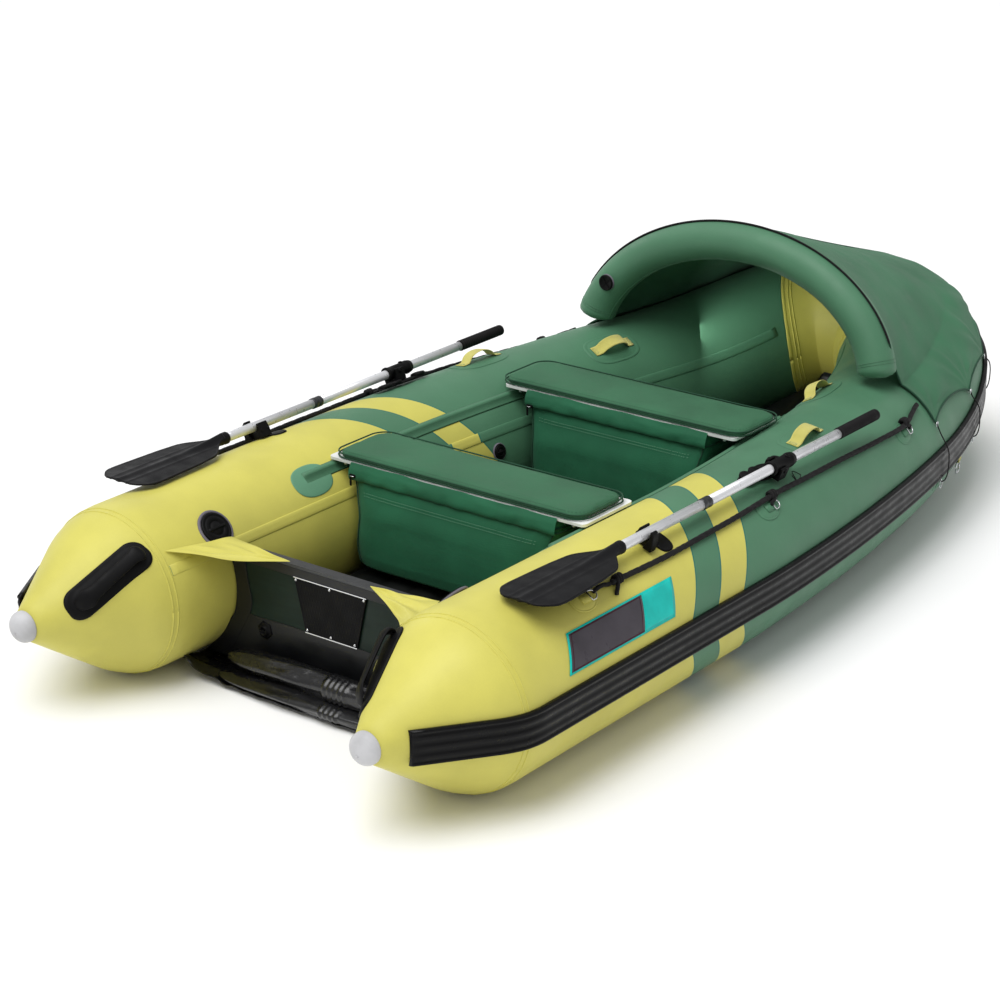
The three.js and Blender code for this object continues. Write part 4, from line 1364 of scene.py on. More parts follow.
def ribbed_grip():
    """The ribbed rubber grip of an oar."""
    profile = [(0.0, 0.3186), (0.0150, 0.3186), (0.0168, 0.3210), (0.0172, 0.3260), (0.0165, 0.3300)]
    y = 0.334
    while y < 0.508:
        profile += [(0.0156, y), (0.0166, y + 0.0012), (0.0170, y + 0.0030), (0.0166, y + 0.0048),
                    (0.0156, y + 0.0060)]
        y += 0.0084
    return profile + [(0.0166, 0.514), (0.0170, 0.520), (0.0162, 0.5265), (0.0110, 0.5298), (0.0, 0.5304)]


BLADE_WIDTHS = ((-0.752, 0.0150), (-0.780, 0.0185), (-0.800, 0.036), (-0.845, 0.074), (-0.920, 0.084),
                (-1.000, 0.0885), (-1.080, 0.0925), (-1.118, 0.0890), (-1.146, 0.0640), (-1.1565, 0.0450))


def blade_width(y):
    """Half the blade's width at a distance from the pin."""
    for (y0, w0), (y1, w1) in zip(BLADE_WIDTHS, BLADE_WIDTHS[1:]):
        if y >= y1:
            x = (y0 - y) / (y0 - y1)
            return w0 + (w1 - w0) * x
    return BLADE_WIDTHS[-1][1]


def oar_blade(word, side):
    """A spooned paddle: a socket that fades into a central ridge, with a rib to each side."""
    rows, columns = 90, 41
    top, low = [], []
    for i in range(rows + 1):
        y = -0.752 - 0.4045 * i / rows
        w = sum(blade_width(y + d)
                for d in (-0.012, 0.0, 0.012)) / 3 if -1.140 < y < -0.77 else blade_width(y)
        socket = max(0.0, 1 - (-0.752 - y) / 0.16)
        ridge = 0.0035 + 0.0140 * socket**1.3
        for j in range(columns):
            u = 2 * j / (columns - 1) - 1
            x = w * u
            spoon = -0.0055 * (x / 0.09) ** 2
            hump = ridge * math.exp(-((x / (0.010 + 0.006 * socket)) ** 2))
            hump += 0.0016 * math.exp(-(((abs(x) - 0.030) / 0.0035) ** 2)) * (1 - socket)
            edge = 0.0012 * math.exp(-(((1 - abs(u)) * w / 0.004) ** 2))
            origin = Vector((side * ROWLOCK.x, ROWLOCK.y, ROWLOCK.z))
            top.append(origin + Vector((x, y, spoon + hump + edge + 0.0015)))
            low.append(origin + Vector((x, y, spoon - hump * 0.9 - 0.0022)))
    n = len(top)
    grid = strip_faces(rows + 1, columns, False)
    faces = grid + [tuple(n + k for k in reversed(f)) for f in grid]
    rim = [j for j in range(columns)] + [r * columns + columns - 1 for r in range(1, rows + 1)]
    rim += [rows * columns + j
            for j in range(columns - 2, -1, -1)] + [r * columns for r in range(rows - 1, 0, -1)]
    faces += [(rim[k], rim[(k + 1) % len(rim)], n + rim[(k + 1) % len(rim)], n + rim[k])
              for k in range(len(rim))]
    obj = piece(f"{word}_blade", top + low, faces, "blade", f"{word}_oar", "black_plastic")
    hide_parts(f"{word}_oar_blade")


def oar(word, side):
    """Loom, grip, sleeve, stopper ring and blade."""
    body = f"{word}_oar"
    shaft = rod(f"{word}_shaft",
                [(0.0, -0.756), (0.0138, -0.756), (0.0139, -0.70), (0.0139, -0.3525), (0.0, -0.3525)],
                side, "alloy", body, "oar_aluminium")
    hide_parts(f"{word}_oar_shaft")
    loom = rod(f"{word}_loom",
               [(0.0, -0.3515), (0.0139, -0.3515), (0.0140, 0.0), (0.0139, 0.3180), (0.0, 0.3180)],
               side, "alloy", body, "oar_aluminium")
    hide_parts(f"{word}_oar_loom")
    collar = [(0.0, -0.372), (0.0146, -0.372), (0.0160, -0.3700), (0.0160, -0.3560), (0.0149, -0.3545),
              (0.0149, -0.3500), (0.0160, -0.3485), (0.0160, -0.3360), (0.0146, -0.334), (0.0, -0.334)]
    rod(f"{word}_collar", collar, side, "cap_alloy", body, "oar_aluminium")
    grip = rod(f"{word}_grip", ribbed_grip(), side, "grip", body, "black_rubber")
    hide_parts(f"{word}_oar_grip")
    socket = [(0.0, -0.800), (0.0100, -0.800), (0.0158, -0.770), (0.0170, -0.745), (0.0178, -0.742),
              (0.0178, -0.734), (0.0160, -0.731), (0.0, -0.731)]
    rod(f"{word}_socket", socket, side, "blade", body, "black_plastic")
    sleeve = [(0.0146, -0.036), (0.0192, -0.036), (0.0214, -0.0335), (0.0214, -0.0290), (0.0194, -0.0265),
              (0.0192, 0.0000), (0.0192, 0.0520), (0.0208, 0.0545), (0.0208, 0.0600), (0.0190, 0.0620),
              (0.0190, 0.0700), (0.0178, 0.0740), (0.0146, 0.0740)]
    ring = rod(f"{word}_sleeve", sleeve, side, "black", body, "black_plastic", 40)
    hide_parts(f"{word}_oar_sleeve")
    bolt = leaning(0.0, 0.040, 0.0190, side)
    screw(f"{word}_sleeve_bolt", bolt, lean_way(0, 0, 1, side), 0.0062, body, "black_plastic", "black")
    oar_blade(word, side)


def lean_plate(name, outline, y0, y1, side, mat, slot, body, bevel=0.0022):
    """A plate across the oar: an outline in the rowlock's X-Z plane between two distances along Y."""
    rings = [[leaning(x, y, z, side) for x, z in outline] for y in (y0, y1)]
    return bevelled(piece(name, *closed_sweep(rings), mat, body, slot, smooth=False), bevel, 3)


def arc(cx, cz, r, a, b, n=14):
    """Points of a circular arc."""
    return [(cx + r * math.cos(math.radians(a + (b - a) * i / n)),
             cz + r * math.sin(math.radians(a + (b - a) * i / n)))
            for i in range(n + 1)]


def rowlock(word, side):
    """Glued base, plate, leaning pin and the yoke that holds the oar."""
    base = []
    for k in range(72):
        a = 2 * math.pi * k / 72
        y = 0.116 * math.sin(a)
        fore_waist = 0.30 * math.exp(-(((y - 0.045) / 0.022) ** 2))
        aft_waist = 0.22 * math.exp(-(((y + 0.060) / 0.022) ** 2))
        lobes = 1.0 - fore_waist - aft_waist
        base.append((-0.026 + 0.029 * math.copysign(abs(math.cos(a)) ** 0.55, math.cos(a)) * lobes,
                     y - 0.008))
    steps = ((1.0, -0.0358), (1.0, -0.0335), (0.95, -0.0315), (0.86, -0.0308), (0.74, -0.0325),
             (0.66, -0.0306))
    verts = [leaning(-0.026 + (x + 0.026) * k, (y + 0.008) * (1 - (1 - k) * 0.32) - 0.008, z, side)
             for k, z in steps for x, y in base]
    faces = strip_faces(len(steps), len(base))
    faces += [tuple(range(len(base))), tuple(len(base) * 5 + i for i in range(len(base)))]
    obj = piece(f"{word}_rowlock_plate", verts, faces, "black", "hull", "black_plastic")
    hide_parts(f"{word}_rowlock_base")
    for k, y in enumerate((-0.086, -0.042, 0.066)):
        top = leaning(-0.032, y, -0.0308, side)
        axis = lean_way(0, 0, 1, side)
        profile = [(0.0, -0.002), (0.0225, -0.002), (0.0230, 0.0035), (0.0205, 0.0066), (0.0140, 0.0078),
                   (0.0115, 0.0068), (0.0, 0.0066)]
        lathe(profile, top, axis, "black", f"{word}_rowlock_boss_{k}", "hull", "black_plastic", 32)
    cheek = 0.0222
    fork = [(-cheek - 0.006, -0.0300),
            (cheek + 0.006, -0.0300)] + arc(cheek + 0.0028, 0.006, 0.0045, 0, 180, 8)
    fork += [(cheek - 0.001, -0.002)] + arc(0, -0.0015, cheek - 0.0008, -4, -176,
                                            18) + [(-cheek + 0.001, -0.002)]
    fork += arc(-cheek - 0.0028, 0.006, 0.0045, 0, 180, 8)
    obj = lean_plate(f"{word}_yoke", fork, -0.019, 0.019, side, "black", "black_plastic",
                     f"{word}_rowlock", 0.0020)
    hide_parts(f"{word}_rowlock_yoke")
    for k, way in enumerate((-1, 1)):
        place = leaning(way * (cheek + 0.0066), 0.0, 0.0010, side)
        axis = lean_way(way, 0, 0, side)
        screw(f"{word}_yoke_bolt_{k}", place, axis, 0.0074, f"{word}_rowlock", "black_plastic", "black")
    knots = [leaning(0.031, 0.050, -0.030, side), leaning(0.046, 0.072, -0.052, side), *[
        skin(1.713 + d, a, lift, side)
        for d, a, lift in ((0.006, 62, 0.006), (0.012, 57, 0.012), (-0.004, 55, 0.016))]]
    round_cord(f"{word}_rowlock_lanyard", spline(knots, 40), 0.0013, "rope", "hull", "black_rope", 8)


def keeper(word, side):
    """The rest for the stowed shaft: a glued pad with an open hook."""
    place = on_tube(1.086, 68, side)
    patch(f"{word}_keeper_pad", place, ellipse(0.060, 0.098, 44, 3.0), "black", "hull", "black_plastic",
          ((1.0, 0.0003), (0.99, 0.0024), (0.93, 0.0036), (0.86, 0.0026), (0.6, 0.0034), (0.3, 0.0036)))
    hook = [(-0.030, -0.0350), (0.024, -0.0358), (0.0235, -0.0165)] + arc(0, 0, 0.0158, -52, -172, 16)
    hook += arc(-0.0192, 0.004, 0.0036, 10, 170, 8) + [(-0.0262, -0.010)]
    rings = [[leaning(x, KEEPER_Y - ROWLOCK.y + y, z, side) for x, z in hook] for y in (-0.020, 0.020)]
    obj = bevelled(piece(f"{word}_keeper_hook", *closed_sweep(rings), "black", "hull", "black_plastic",
                         smooth=False), 0.003, 3)
    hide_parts(f"{word}_oar_keeper")
    horn = [(0.008, -0.0352), (0.036, -0.0345), (0.0345, -0.012), (0.0290, 0.0120), (0.0215, 0.0195),
            (0.0150, 0.0190), (0.0175, 0.0080), (0.0185, -0.0040), (0.0150, -0.0160)]
    rings = [[leaning(x, KEEPER_Y - ROWLOCK.y + y, z, side) for x, z in horn] for y in (-0.030, -0.004)]
    tab = bevelled(piece(f"{word}_keeper_horn", *closed_sweep(rings), "black", "hull", "black_plastic",
                         smooth=False), 0.004, 3)
    leaning(0.02, KEEPER_Y - ROWLOCK.y, -0.036, side)
    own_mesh(tab)
    for k, y in enumerate((-0.014, 0.014)):
        tip = leaning(-0.0265, KEEPER_Y - ROWLOCK.y + y, -0.014, side)
        screw(f"{word}_keeper_rivet_{k}", tip, lean_way(-1, 0, 0.3, side), 0.0042, "hull",
              "black_plastic", "black")


# ---- handles and valves ----
def webbing_handle(word, name, s, degrees, side):
    """A padded loop of webbing with stitched feet, on an oval double patch."""
    place = on_tube(s, degrees, side)
    patch(f"{word}_{name}_patch", place, ellipse(0.215, 0.118, 60, 2.8), "green", "hull",
          "hull_fabric_green", GROOVED_STEPS)
    path = [(-0.083, 0.0016), (-0.070, 0.0020), (-0.058, 0.0040)]
    path += [(0.053 * math.cos(math.radians(a)), 0.003 + 0.0280 * math.sin(math.radians(a)))
             for a in range(164, 10, -8)]
    path += [(0.058, 0.0040), (0.070, 0.0020), (0.083, 0.0016)]
    rings = []
    for i, (u, lift) in enumerate(path):
        a, b = path[max(0, i - 1)], path[min(len(path) - 1, i + 1)]
        d = Vector((b[0] - a[0], b[1] - a[1])).normalized()
        n = (-d.y, d.x)
        middle = math.exp(-((u / 0.036) ** 2)) if lift > 0.012 else 0.0
        half = 0.0185 - 0.0008 * middle
        ring = []
        for v, t in ((-1, -0.4), (-0.96, 0.6), (-0.75, 1.0), (-0.72, 0.8), (0, 0.9), (0.72, 0.8),
                     (0.75, 1.0), (0.96, 0.6), (1, -0.4), (0.9, -0.9), (0, -1.0), (-0.9, -0.9)):
            h = 0.0014 * t
            ring.append(place(u + n[0] * h, v * half, lift + 0.0022 + n[1] * h))
        rings.append(ring)
    obj = piece(f"{word}_{name}_loop", *closed_sweep(rings), "webbing", "hull", "yellow_webbing")
    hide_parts(f"{word}_{name}")
    for k, u in enumerate((-0.076, 0.076)):
        box = [place(u + a, b, 0.0056)
               for a, b in ((-0.005, -0.010), (0.005, -0.010), (0.005, 0.010), (-0.005, 0.010),
                            (-0.005, -0.010))]
        normal = place(u, 0, 0.02) - place(u, 0, 0.0)
        stitches(f"{word}_{name}_stitches_{k}", box, normal, 0.0026, 0.0014, "thread", "hull",
                 "yellow_webbing", 0.0005)


def cone_handle(word, side):
    """A moulded grab handle on the stern cone: a thick rounded base with a raised bar."""
    place = on_tube(0.225, 139, side)
    turn = math.radians(15)

    def turned(along, across, lift):
        u = along * math.cos(turn) + across * math.sin(turn)
        v = -along * math.sin(turn) + across * math.cos(turn)
        return place(u, v, lift)

    base = rounded_rectangle(0.232, 0.088, 0.036, 12)
    steps = ((1.0, 0.0004), (1.0, 0.0030), (0.975, 0.0052), (0.93, 0.0056), (0.89, 0.0042),
             (0.84, 0.0056), (0.5, 0.0060))
    verts = [turned(u * k, v * (1 - (1 - k) * 2.1 if k > 0.8 else 0.34), lift) for k, lift in steps
             for u, v in base]
    verts.append(turned(0, 0, 0.0060))
    faces = strip_faces(len(steps), len(base))
    faces += [((len(steps) - 1) * len(base) + i, (len(steps) - 1) * len(base) + (i + 1) % len(base),
               len(verts) - 1)
              for i in range(len(base))]
    obj = piece(f"{word}_cone_handle_base", verts, faces, "black", "hull", "black_plastic")
    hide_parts(f"{word}_cone_handle")
    rings = []
    for i in range(41):
        x = -0.098 + 0.196 * i / 40
        end = max(0.0, (abs(x) - 0.066) / 0.032)
        lift = 0.0235 * (1 - end**2.2) + 0.004
        wide = 0.0155 + 0.0060 * math.exp(-(((abs(x) - 0.076) / 0.012) ** 2))
        deep = 0.0062 + 0.0030 * end
        if end >= 1:
            wide, deep = 0.004, 0.002
        rings.append([turned(x, wide * math.copysign(abs(math.cos(a)) ** 0.7, math.cos(a)),
                             lift + deep * math.sin(a))
                      for a in round_angles(24)])
    piece(f"{word}_cone_handle_bar", *closed_sweep(rings), "black", "hull", "black_plastic")


def valve(name, s, degrees, side, r, body, node):
    """A screw valve: a flange with a lighter rim on the skin and a ridged cap that turns in it."""
    f = hull_frame(s)
    normal = mirrored(f.radial(degrees), side)
    if side < 0:
        normal = Vector((-f.radial(degrees).x, f.radial(degrees).y, f.radial(degrees).z))
    centre = skin(s, degrees, 0.0, side)
    rim = [(0.0, -0.004), (r * 1.10, -0.004), (r * 1.12, 0.0006), (r * 1.08, 0.0030), (r * 1.00, 0.0034),
           (r * 0.97, 0.0022), (r * 0.95, 0.0010), (0.0, 0.0008)]
    lathe(rim, centre, normal, "valve_rim", f"{name}_flange", "hull", "black_plastic", 64)
    cap = [(0.0, 0.0014), (r * 0.93, 0.0014), (r * 0.945, 0.0040), (r * 0.90, 0.0070), (r * 0.80, 0.0078),
           (r * 0.77, 0.0062), (r * 0.72, 0.0062), (r * 0.70, 0.0078), (r * 0.46, 0.0082),
           (r * 0.44, 0.0064), (r * 0.39, 0.0064), (r * 0.36, 0.0086), (0.0, 0.0090)]
    obj = lathe(cap, centre, normal, "black", f"{name}_disc", body, "black_plastic", 64)
    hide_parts(node)
    along = f.along.normalized() if side > 0 else Vector((-f.along.x, f.along.y, f.along.z))
    across = normal.cross(along).normalized()
    bar = []
    for i in range(9):
        x = (-0.62 + 1.24 * i / 8) * r
        h = 0.0090 + 0.0026 * (1 - (i / 4 - 1) ** 2)
        bar.append([centre + along * x + across * (w * r * 0.10) + normal * (h * k + 0.0070 * (1 - k))
                    for w, k in ((-1, 0), (-0.8, 1), (0.8, 1), (1, 0))])
    piece(f"{name}_grip_bar", *closed_sweep(bar), "black", body, "black_plastic")


def tow_ring(word, side):
    """A steel D-ring in a strap on a round patch, under the bow."""
    body = f"{word}_tow_ring_body"
    low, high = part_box(f"{word}_tow_ring")
    centre = (low + high) / 2
    f = hull_frame(2.850)
    along = Vector((side * f.along.x, f.along.y, 0)).normalized()
    outline = rounded_rectangle(0.052, 0.038, 0.015, 8)
    ring = [centre + along * u + Vector((0, 0, v)) for u, v in outline]
    obj = hoop(f"{word}_tow_d", ring, 0.0030, "steel", body, "steel", 12)
    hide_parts(f"{word}_tow_ring")
    place = on_tube(2.850, -36, side)
    patch(f"{word}_tow_patch", place, ellipse(0.120, 0.120, 48), "green", "hull", "hull_fabric_green",
          GROOVED_STEPS)
    strap = []
    for v, lift in ((0.050, 0.0014), (0.020, 0.0022), (0.004, 0.0090), (-0.006, 0.0200), (-0.016, 0.0130),
                    (-0.024, 0.0030), (-0.050, 0.0014)):
        strap.append([place(u, v * 0.7, lift * 0.75 + t)
                      for u, t in ((-0.016, 0.0), (0.016, 0.0), (0.016, 0.0016), (-0.016, 0.0016))])
    piece(f"{word}_tow_strap", *closed_sweep(strap), "webbing", "hull", "yellow_webbing")


# ---- arch ----
ARCH_R, ARCH_HALF, ARCH_BASE, ARCH_RISE = 0.059, 0.522, 0.445, 0.364
ARCH_FOOT_Y, ARCH_TOP_Y, ARCH_FOOT = 2.453 - MID, 2.523 - MID, 0.132


def arch_point(t):
    """The arch tube's centreline at a parameter."""
    z = ARCH_BASE + ARCH_RISE * math.sin(t)
    return Vector((ARCH_HALF * math.cos(t),
                   ARCH_FOOT_Y + (ARCH_TOP_Y - ARCH_FOOT_Y) * (z - ARCH_BASE) / ARCH_RISE, z))


def arch_out(t):
    """The way out of the arch at a parameter."""
    return Vector((math.cos(t) / ARCH_HALF, 0, math.sin(t) / ARCH_RISE)).normalized()


def arch_frame(t):
    """Centre and the two ways across the arch tube."""
    along = (arch_point(t + 0.01) - arch_point(t - 0.01)).normalized()
    u = arch_out(t)
    v = along.cross(u).normalized()
    return arch_point(t), u, v


def arch():
    """The inflated arch, its end caps, seams and valve."""
    rings = []
    n = 150
    for i in range(n + 1):
        t = ARCH_FOOT + (math.pi - 2 * ARCH_FOOT) * i / n
        centre, u, v = arch_frame(t)
        end = min(i, n - i) / n * (math.pi - 2 * ARCH_FOOT) * 0.46
        r = ARCH_R * (1 - 0.55 * max(0.0, 1 - end / 0.030) ** 2.6)
        ring = []
        for k in range(56):
            a = 2 * math.pi * k / 56
            swell = noise(Vector((t * 3.4, math.cos(a), math.sin(a)))) * 0.0012
            ring.append(centre + (u * math.cos(a) + v * math.sin(a)) * (r + swell - 0.0006))
        rings.append(ring)
    obj = piece("arch_skin", *closed_sweep(rings), "green", "hull", "hull_fabric_green")
    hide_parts("arch_tube")
    for k, a in enumerate((196, 150)):
        arch_line(f"arch_seam_{k}", ARCH_FOOT + 0.05, math.pi - ARCH_FOOT - 0.05, a, 0.006, 0.0008,
                  "green")
    for k, t in enumerate((ARCH_FOOT + 0.10, ARCH_FOOT + 0.12, math.pi - ARCH_FOOT - 0.10,
                           math.pi - ARCH_FOOT - 0.12)):
        centre, u, v = arch_frame(t)
        ring = [centre + (u * math.cos(a) + v * math.sin(a)) * (ARCH_R + 0.0001)
                for a in round_angles(60)]
        hoop(f"arch_ring_{k}", ring, 0.0010, "green", "hull", "hull_fabric_green", 6)
    t = math.radians(150)
    centre = arch_point(t) + Vector((0, -ARCH_R + 0.002, 0))
    rim = [(0.0, -0.008), (0.0262, -0.008), (0.0266, -0.001), (0.0250, 0.0024), (0.0224, 0.0030),
           (0.0214, 0.0012), (0.0, 0.001)]
    lathe(rim, centre, (0, -1, 0), "valve_rim", "arch_valve_flange", "hull", "black_plastic", 48)
    cap = [(0.0, 0.0018), (0.0250, 0.0018), (0.0262, 0.0050), (0.0250, 0.0086), (0.0215, 0.0096),
           (0.0195, 0.0080), (0.0, 0.0076)]
    obj = lathe(cap, centre, (0, -1, 0), "black", "arch_valve_disc", "arch_valve_cap_body",
                "black_plastic", 48)
    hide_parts("arch_valve_cap")
    for k, a in enumerate((40, 130)):
        d = Vector((math.cos(math.radians(a)), 0, math.sin(math.radians(a))))
        across = Vector((-d.z, 0, d.x))
        bar = [[centre + d * x + across * w + Vector((0, -h, 0))
                for w, h in ((-0.0016, 0.006), (-0.0016, 0.0096), (0.0016, 0.0096), (0.0016, 0.006))]
               for x in (-0.0190, 0.0190)]
        piece(f"arch_valve_bar_{k}", *closed_sweep(bar), "black", "arch_valve_cap_body", "black_plastic",
              smooth=False)


def arch_line(name, t0, t1, angle, width, lift, mat):
    """A narrow raised tape along the arch."""
    rings = []
    for t in steps_between(t0, t1, 110):
        centre, u, v = arch_frame(t)
        a0, half = math.radians(angle), width / 2 / ARCH_R
        rings.append([centre + (u * math.cos(a0 + a) + v * math.sin(a0 + a)) * (ARCH_R + rise)
                      for a, rise in ((-half, -0.002), (-half * 0.8, lift), (half * 0.8, lift),
                                      (half, -0.002))])
    return piece(name, *closed_sweep(rings), mat, "hull", "hull_fabric_green")


# ---- spray cover ----
COVER_FOOT, COVER_AFT = 0.350, 0.745
SCALLOPS = ((0.745, 29.0, 9.0), (0.972, 23.0, 6.5), (1.185, 16.0, 7.0), (1.378, 15.5, 6.0),
            (1.5708, 15.0, 6.0))


def hem_angle(t):
    """The hem hangs in shallow arches between the points where it is lashed down."""
    t = min(t, math.pi - t)
    for (t0, a0, m), (t1, a1, _) in zip(SCALLOPS, SCALLOPS[1:]):
        if t <= t1:
            x = max(0.0, (t - t0) / (t1 - t0))
            return a0 + (a1 - a0) * x + m * (4 * x * (1 - x)) ** 0.8
    return SCALLOPS[-1][1]


def lash_parameters():
    """Where along the bow the hem is lashed down."""
    half = [t for t, _, _ in SCALLOPS]
    return half + [math.pi - t for t in half[:-1]]


def cover_point(u, v):
    """u runs from the arch's crown line to the hem and v from the starboard corner to the port one."""
    t = COVER_FOOT + (math.pi - 2 * COVER_FOOT) * v
    b = COVER_AFT + (math.pi - 2 * COVER_AFT) * v
    f = bow_frame(b)
    hem = hem_angle(b)
    land = 66.0
    start = arch_point(t) + arch_out(t) * (ARCH_R + 0.0035)
    touch = f.point(land, 0.0065)
    if u < 0.56:
        x = u / 0.56
        p = start.lerp(touch, x)
        n = arch_out(t).lerp(f.radial(land), x).normalized()
        sag = math.sin(math.pi * x) * 0.006
        return p - n * sag * (0.3 if u < 0.02 else 1.0), n
    x = (u - 0.56) / 0.44
    a = land + (hem - land) * x
    lift = 0.0065 - 0.0020 * x
    return f.point(a, lift), f.radial(a)


def cover_folds(p, lashes):
    """Creases that run up into the cover from every lashing point."""
    total = 0.0
    for q, up, across in lashes:
        d = p - q
        r = d.length
        if r < 0.50:
            angle = math.atan2(d.dot(across), d.dot(up))
            ridge = math.cos(angle * 11) * 0.6 + math.cos(angle * 5 + 1.1) * 0.6
            total += 0.0115 * ridge * (r / (r + 0.05)) * math.exp(-r / 0.16)
    return total


def cover():
    """The spray cover from the arch down over the bow, with its piping and hem cord."""
    rows, columns = 66, 260
    lashes = []
    for b in lash_parameters():
        f = bow_frame(b)
        q = f.point(hem_angle(b), 0.005)
        up = (f.point(hem_angle(b) + 20, 0.005) - q).normalized()
        lashes.append((q, up, f.along.normalized()))
    verts = []
    for i in range(rows + 1):
        u = i / rows
        for j in range(columns + 1):
            p, n = cover_point(u, j / columns)
            fold = cover_folds(p, lashes)
            drift = noise(Vector((p.x * 5.5, p.y * 5.5, p.z * 5.5))) * 0.0050 + noise(p * 15) * 0.0018
            ease = min(1.0, u / 0.10) * (0.35 if u > 0.93 else 1.0)
            verts.append(p + n * max(-0.0022 if u > 0.50 else -0.02, (fold + drift) * ease))
    obj = piece("cover_sheet", verts, strip_faces(rows + 1, columns + 1, False), "cover", "hull",
                "green_canvas")
    modify(obj, "SOLIDIFY", thickness=0.0013, offset=0.0)
    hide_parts("spray_cover")
    hem_line = [bow_frame(COVER_AFT + (math.pi - 2 * COVER_AFT) * j / 400).point(
        hem_angle(COVER_AFT + (math.pi - 2 * COVER_AFT) * j / 400), 0.0050) for j in range(401)]
    hem = round_cord("cover_hem", hem_line, 0.0034, "piping", "hull", "green_canvas", 10)
    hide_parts("cover_cord")
    for word, column in (("starboard", 0.0), ("port", 1.0)):
        line = [cover_point(i / 60, column)[0] + Vector((0, 0, 0.0015)) for i in range(61)]
        round_cord(f"cover_corner_{word}", line, 0.0030, "piping", "hull", "green_canvas",
                                8)
    crown = [cover_point(0.0, j / 160)[0] for j in range(161)]
    round_cord("cover_crown_piping", crown, 0.0032, "rope", "hull", "green_canvas", 8)
    ridge = [cover_point(0.02 + 0.90 * i / 50, 0.5)[0] + Vector((0, 0, 0.0005)) for i in range(51)]
    round_cord("cover_ridge_seam", ridge, 0.0022, "piping", "hull", "green_canvas", 8)
    area = sheet_area()
    return obj


def sheet_area():
    """The cut's flat area: the smooth surface's, without the creases."""
    total, rows, columns = 0.0, 40, 80
    grid = [[cover_point(i / rows, j / columns)[0] for j in range(columns + 1)] for i in range(rows + 1)]
    for i in range(rows):
        for j in range(columns):
            a, b, c, d = grid[i][j], grid[i][j + 1], grid[i + 1][j + 1], grid[i + 1][j]
            total += (b - a).cross(c - a).length / 2 + (c - a).cross(d - a).length / 2
    return total


def lashing(name, b):
    """A short line from the hem down over the strake to a ring below it."""
    f = bow_frame(b)
    a = hem_angle(b)
    knots = [f.point(a, 0.0085), f.point((a + 9) / 2 + 2, 0.0085), f.point(10.5, 0.020),
             f.point(4, 0.0225), f.point(-6, 0.0225), f.point(-12.5, 0.020), f.point(-15.5, 0.010)]
    path = spline(knots, 70)
    obj = round_cord(name, path, 0.0019, "rope", "hull", "black_rope", 8)
    length = sum((q - p).length for p, q in zip(path, path[1:]))
    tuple(path[0])
    [tuple(p) for p in path]
    side = f.along.normalized()
    eye = [f.point(a - 1.0, 0.0085) + (side * math.cos(k) + f.up * math.sin(k)) * 0.0075
           for k in round_angles(24)]
    hoop(f"{name}_eyelet", eye, 0.0018, "steel", "hull", "steel", 8)
    low = f.point(-17, 0.011)
    ring = [low + side * (0.011 * math.cos(k)) + f.up * (0.013 * math.sin(k)) for k in round_angles(28)]
    hoop(f"{name}_ring", ring, 0.0019, "steel", "hull", "steel", 8)
    station = f.station
    sign = 1 if f.centre.x >= 0 else -1
    if abs(b - math.pi / 2) > 0.1:
        place = on_tube(station, -19, sign)
        patch(f"{name}_patch", place, ellipse(0.060, 0.040, 30, 2.4), "green", "hull",
              "hull_fabric_green")
        strap = [[place(u, v, lift)
                  for u, lift in ((-0.008, 0.001), (0.008, 0.001), (0.008, 0.0026), (-0.008, 0.0026))]
                 for v in (-0.010, 0.0, 0.008)]
        piece(f"{name}_strap", *closed_sweep(strap), "green", "hull", "hull_fabric_green")


# ---- lifelines ----
LIFELINE = ((2.478, 48.3), (2.440, 47), (2.330, 43), (2.150, 46), (1.950, 50), (1.750, 53), (1.560, 55),
            (1.300, 54), (1.050, 53.5), (0.810, 55))
RINGS = ((2.350, 39.5, 2.317, 38.9, 2.343, 45), (1.532, 50.3, 1.517, 49.5, 1.563, 55.5),
         (0.724, 55.5, 0.700, 54.5, 0.845, 55.5))


def coil(name, centre, along, normal, radius, turns, wire, body="hull"):
    """A knot: a few tight turns of rope round the line."""
    across = along.cross(normal).normalized()
    path = []
    for i in range(turns * 22 + 1):
        a = 2 * math.pi * i / 22
        k = i / (turns * 22)
        path.append(centre + along * (wire * 1.75 * turns * (k - 0.5))
                    + (across * math.cos(a) + normal * math.sin(a)) *
                    radius * (0.92 + 0.12 * math.sin(math.pi * k)))
    return round_cord(name, path, wire, "rope", body, "black_rope", 10, 0.12, wire * 7)


def d_ring(name, s, patch_s, patch_a, side):
    """A ring on a glued patch, which the lifeline passes."""
    place = on_tube(patch_s, patch_a, side)
    patch(f"{name}_patch", place, ellipse(0.094, 0.066, 44, 2.2), "green" if s > 1.1 else "yellow",
          "hull", "hull_fabric_green" if s > 1.1 else "hull_fabric_yellow", GROOVED_STEPS)
    rings = []
    for u in (-0.008, 0.012, 0.024, 0.030):
        rings.append([place(u, v, lift)
                      for v, lift in ((-0.011, 0.001), (0.011, 0.001), (0.011, 0.0042),
                                      (-0.011, 0.0042))])
    piece(f"{name}_strap", *closed_sweep(rings), "green" if s > 1.1 else "yellow", "hull",
          "hull_fabric_green")
    shape = [(0.016 + 0.016 * math.cos(k), 0.0135 * math.sin(k))
             for k in (math.pi * (-0.5 + j / 16) for j in range(17))]
    shape += [(0.010, 0.0135), (0.010, -0.0135)]
    ring = [place(u + 0.014, v, 0.0042 + 0.004 * max(0.0, u / 0.03)) for u, v in shape]
    hoop(f"{name}_ring", ring, 0.0019, "steel", "hull", "steel", 10)


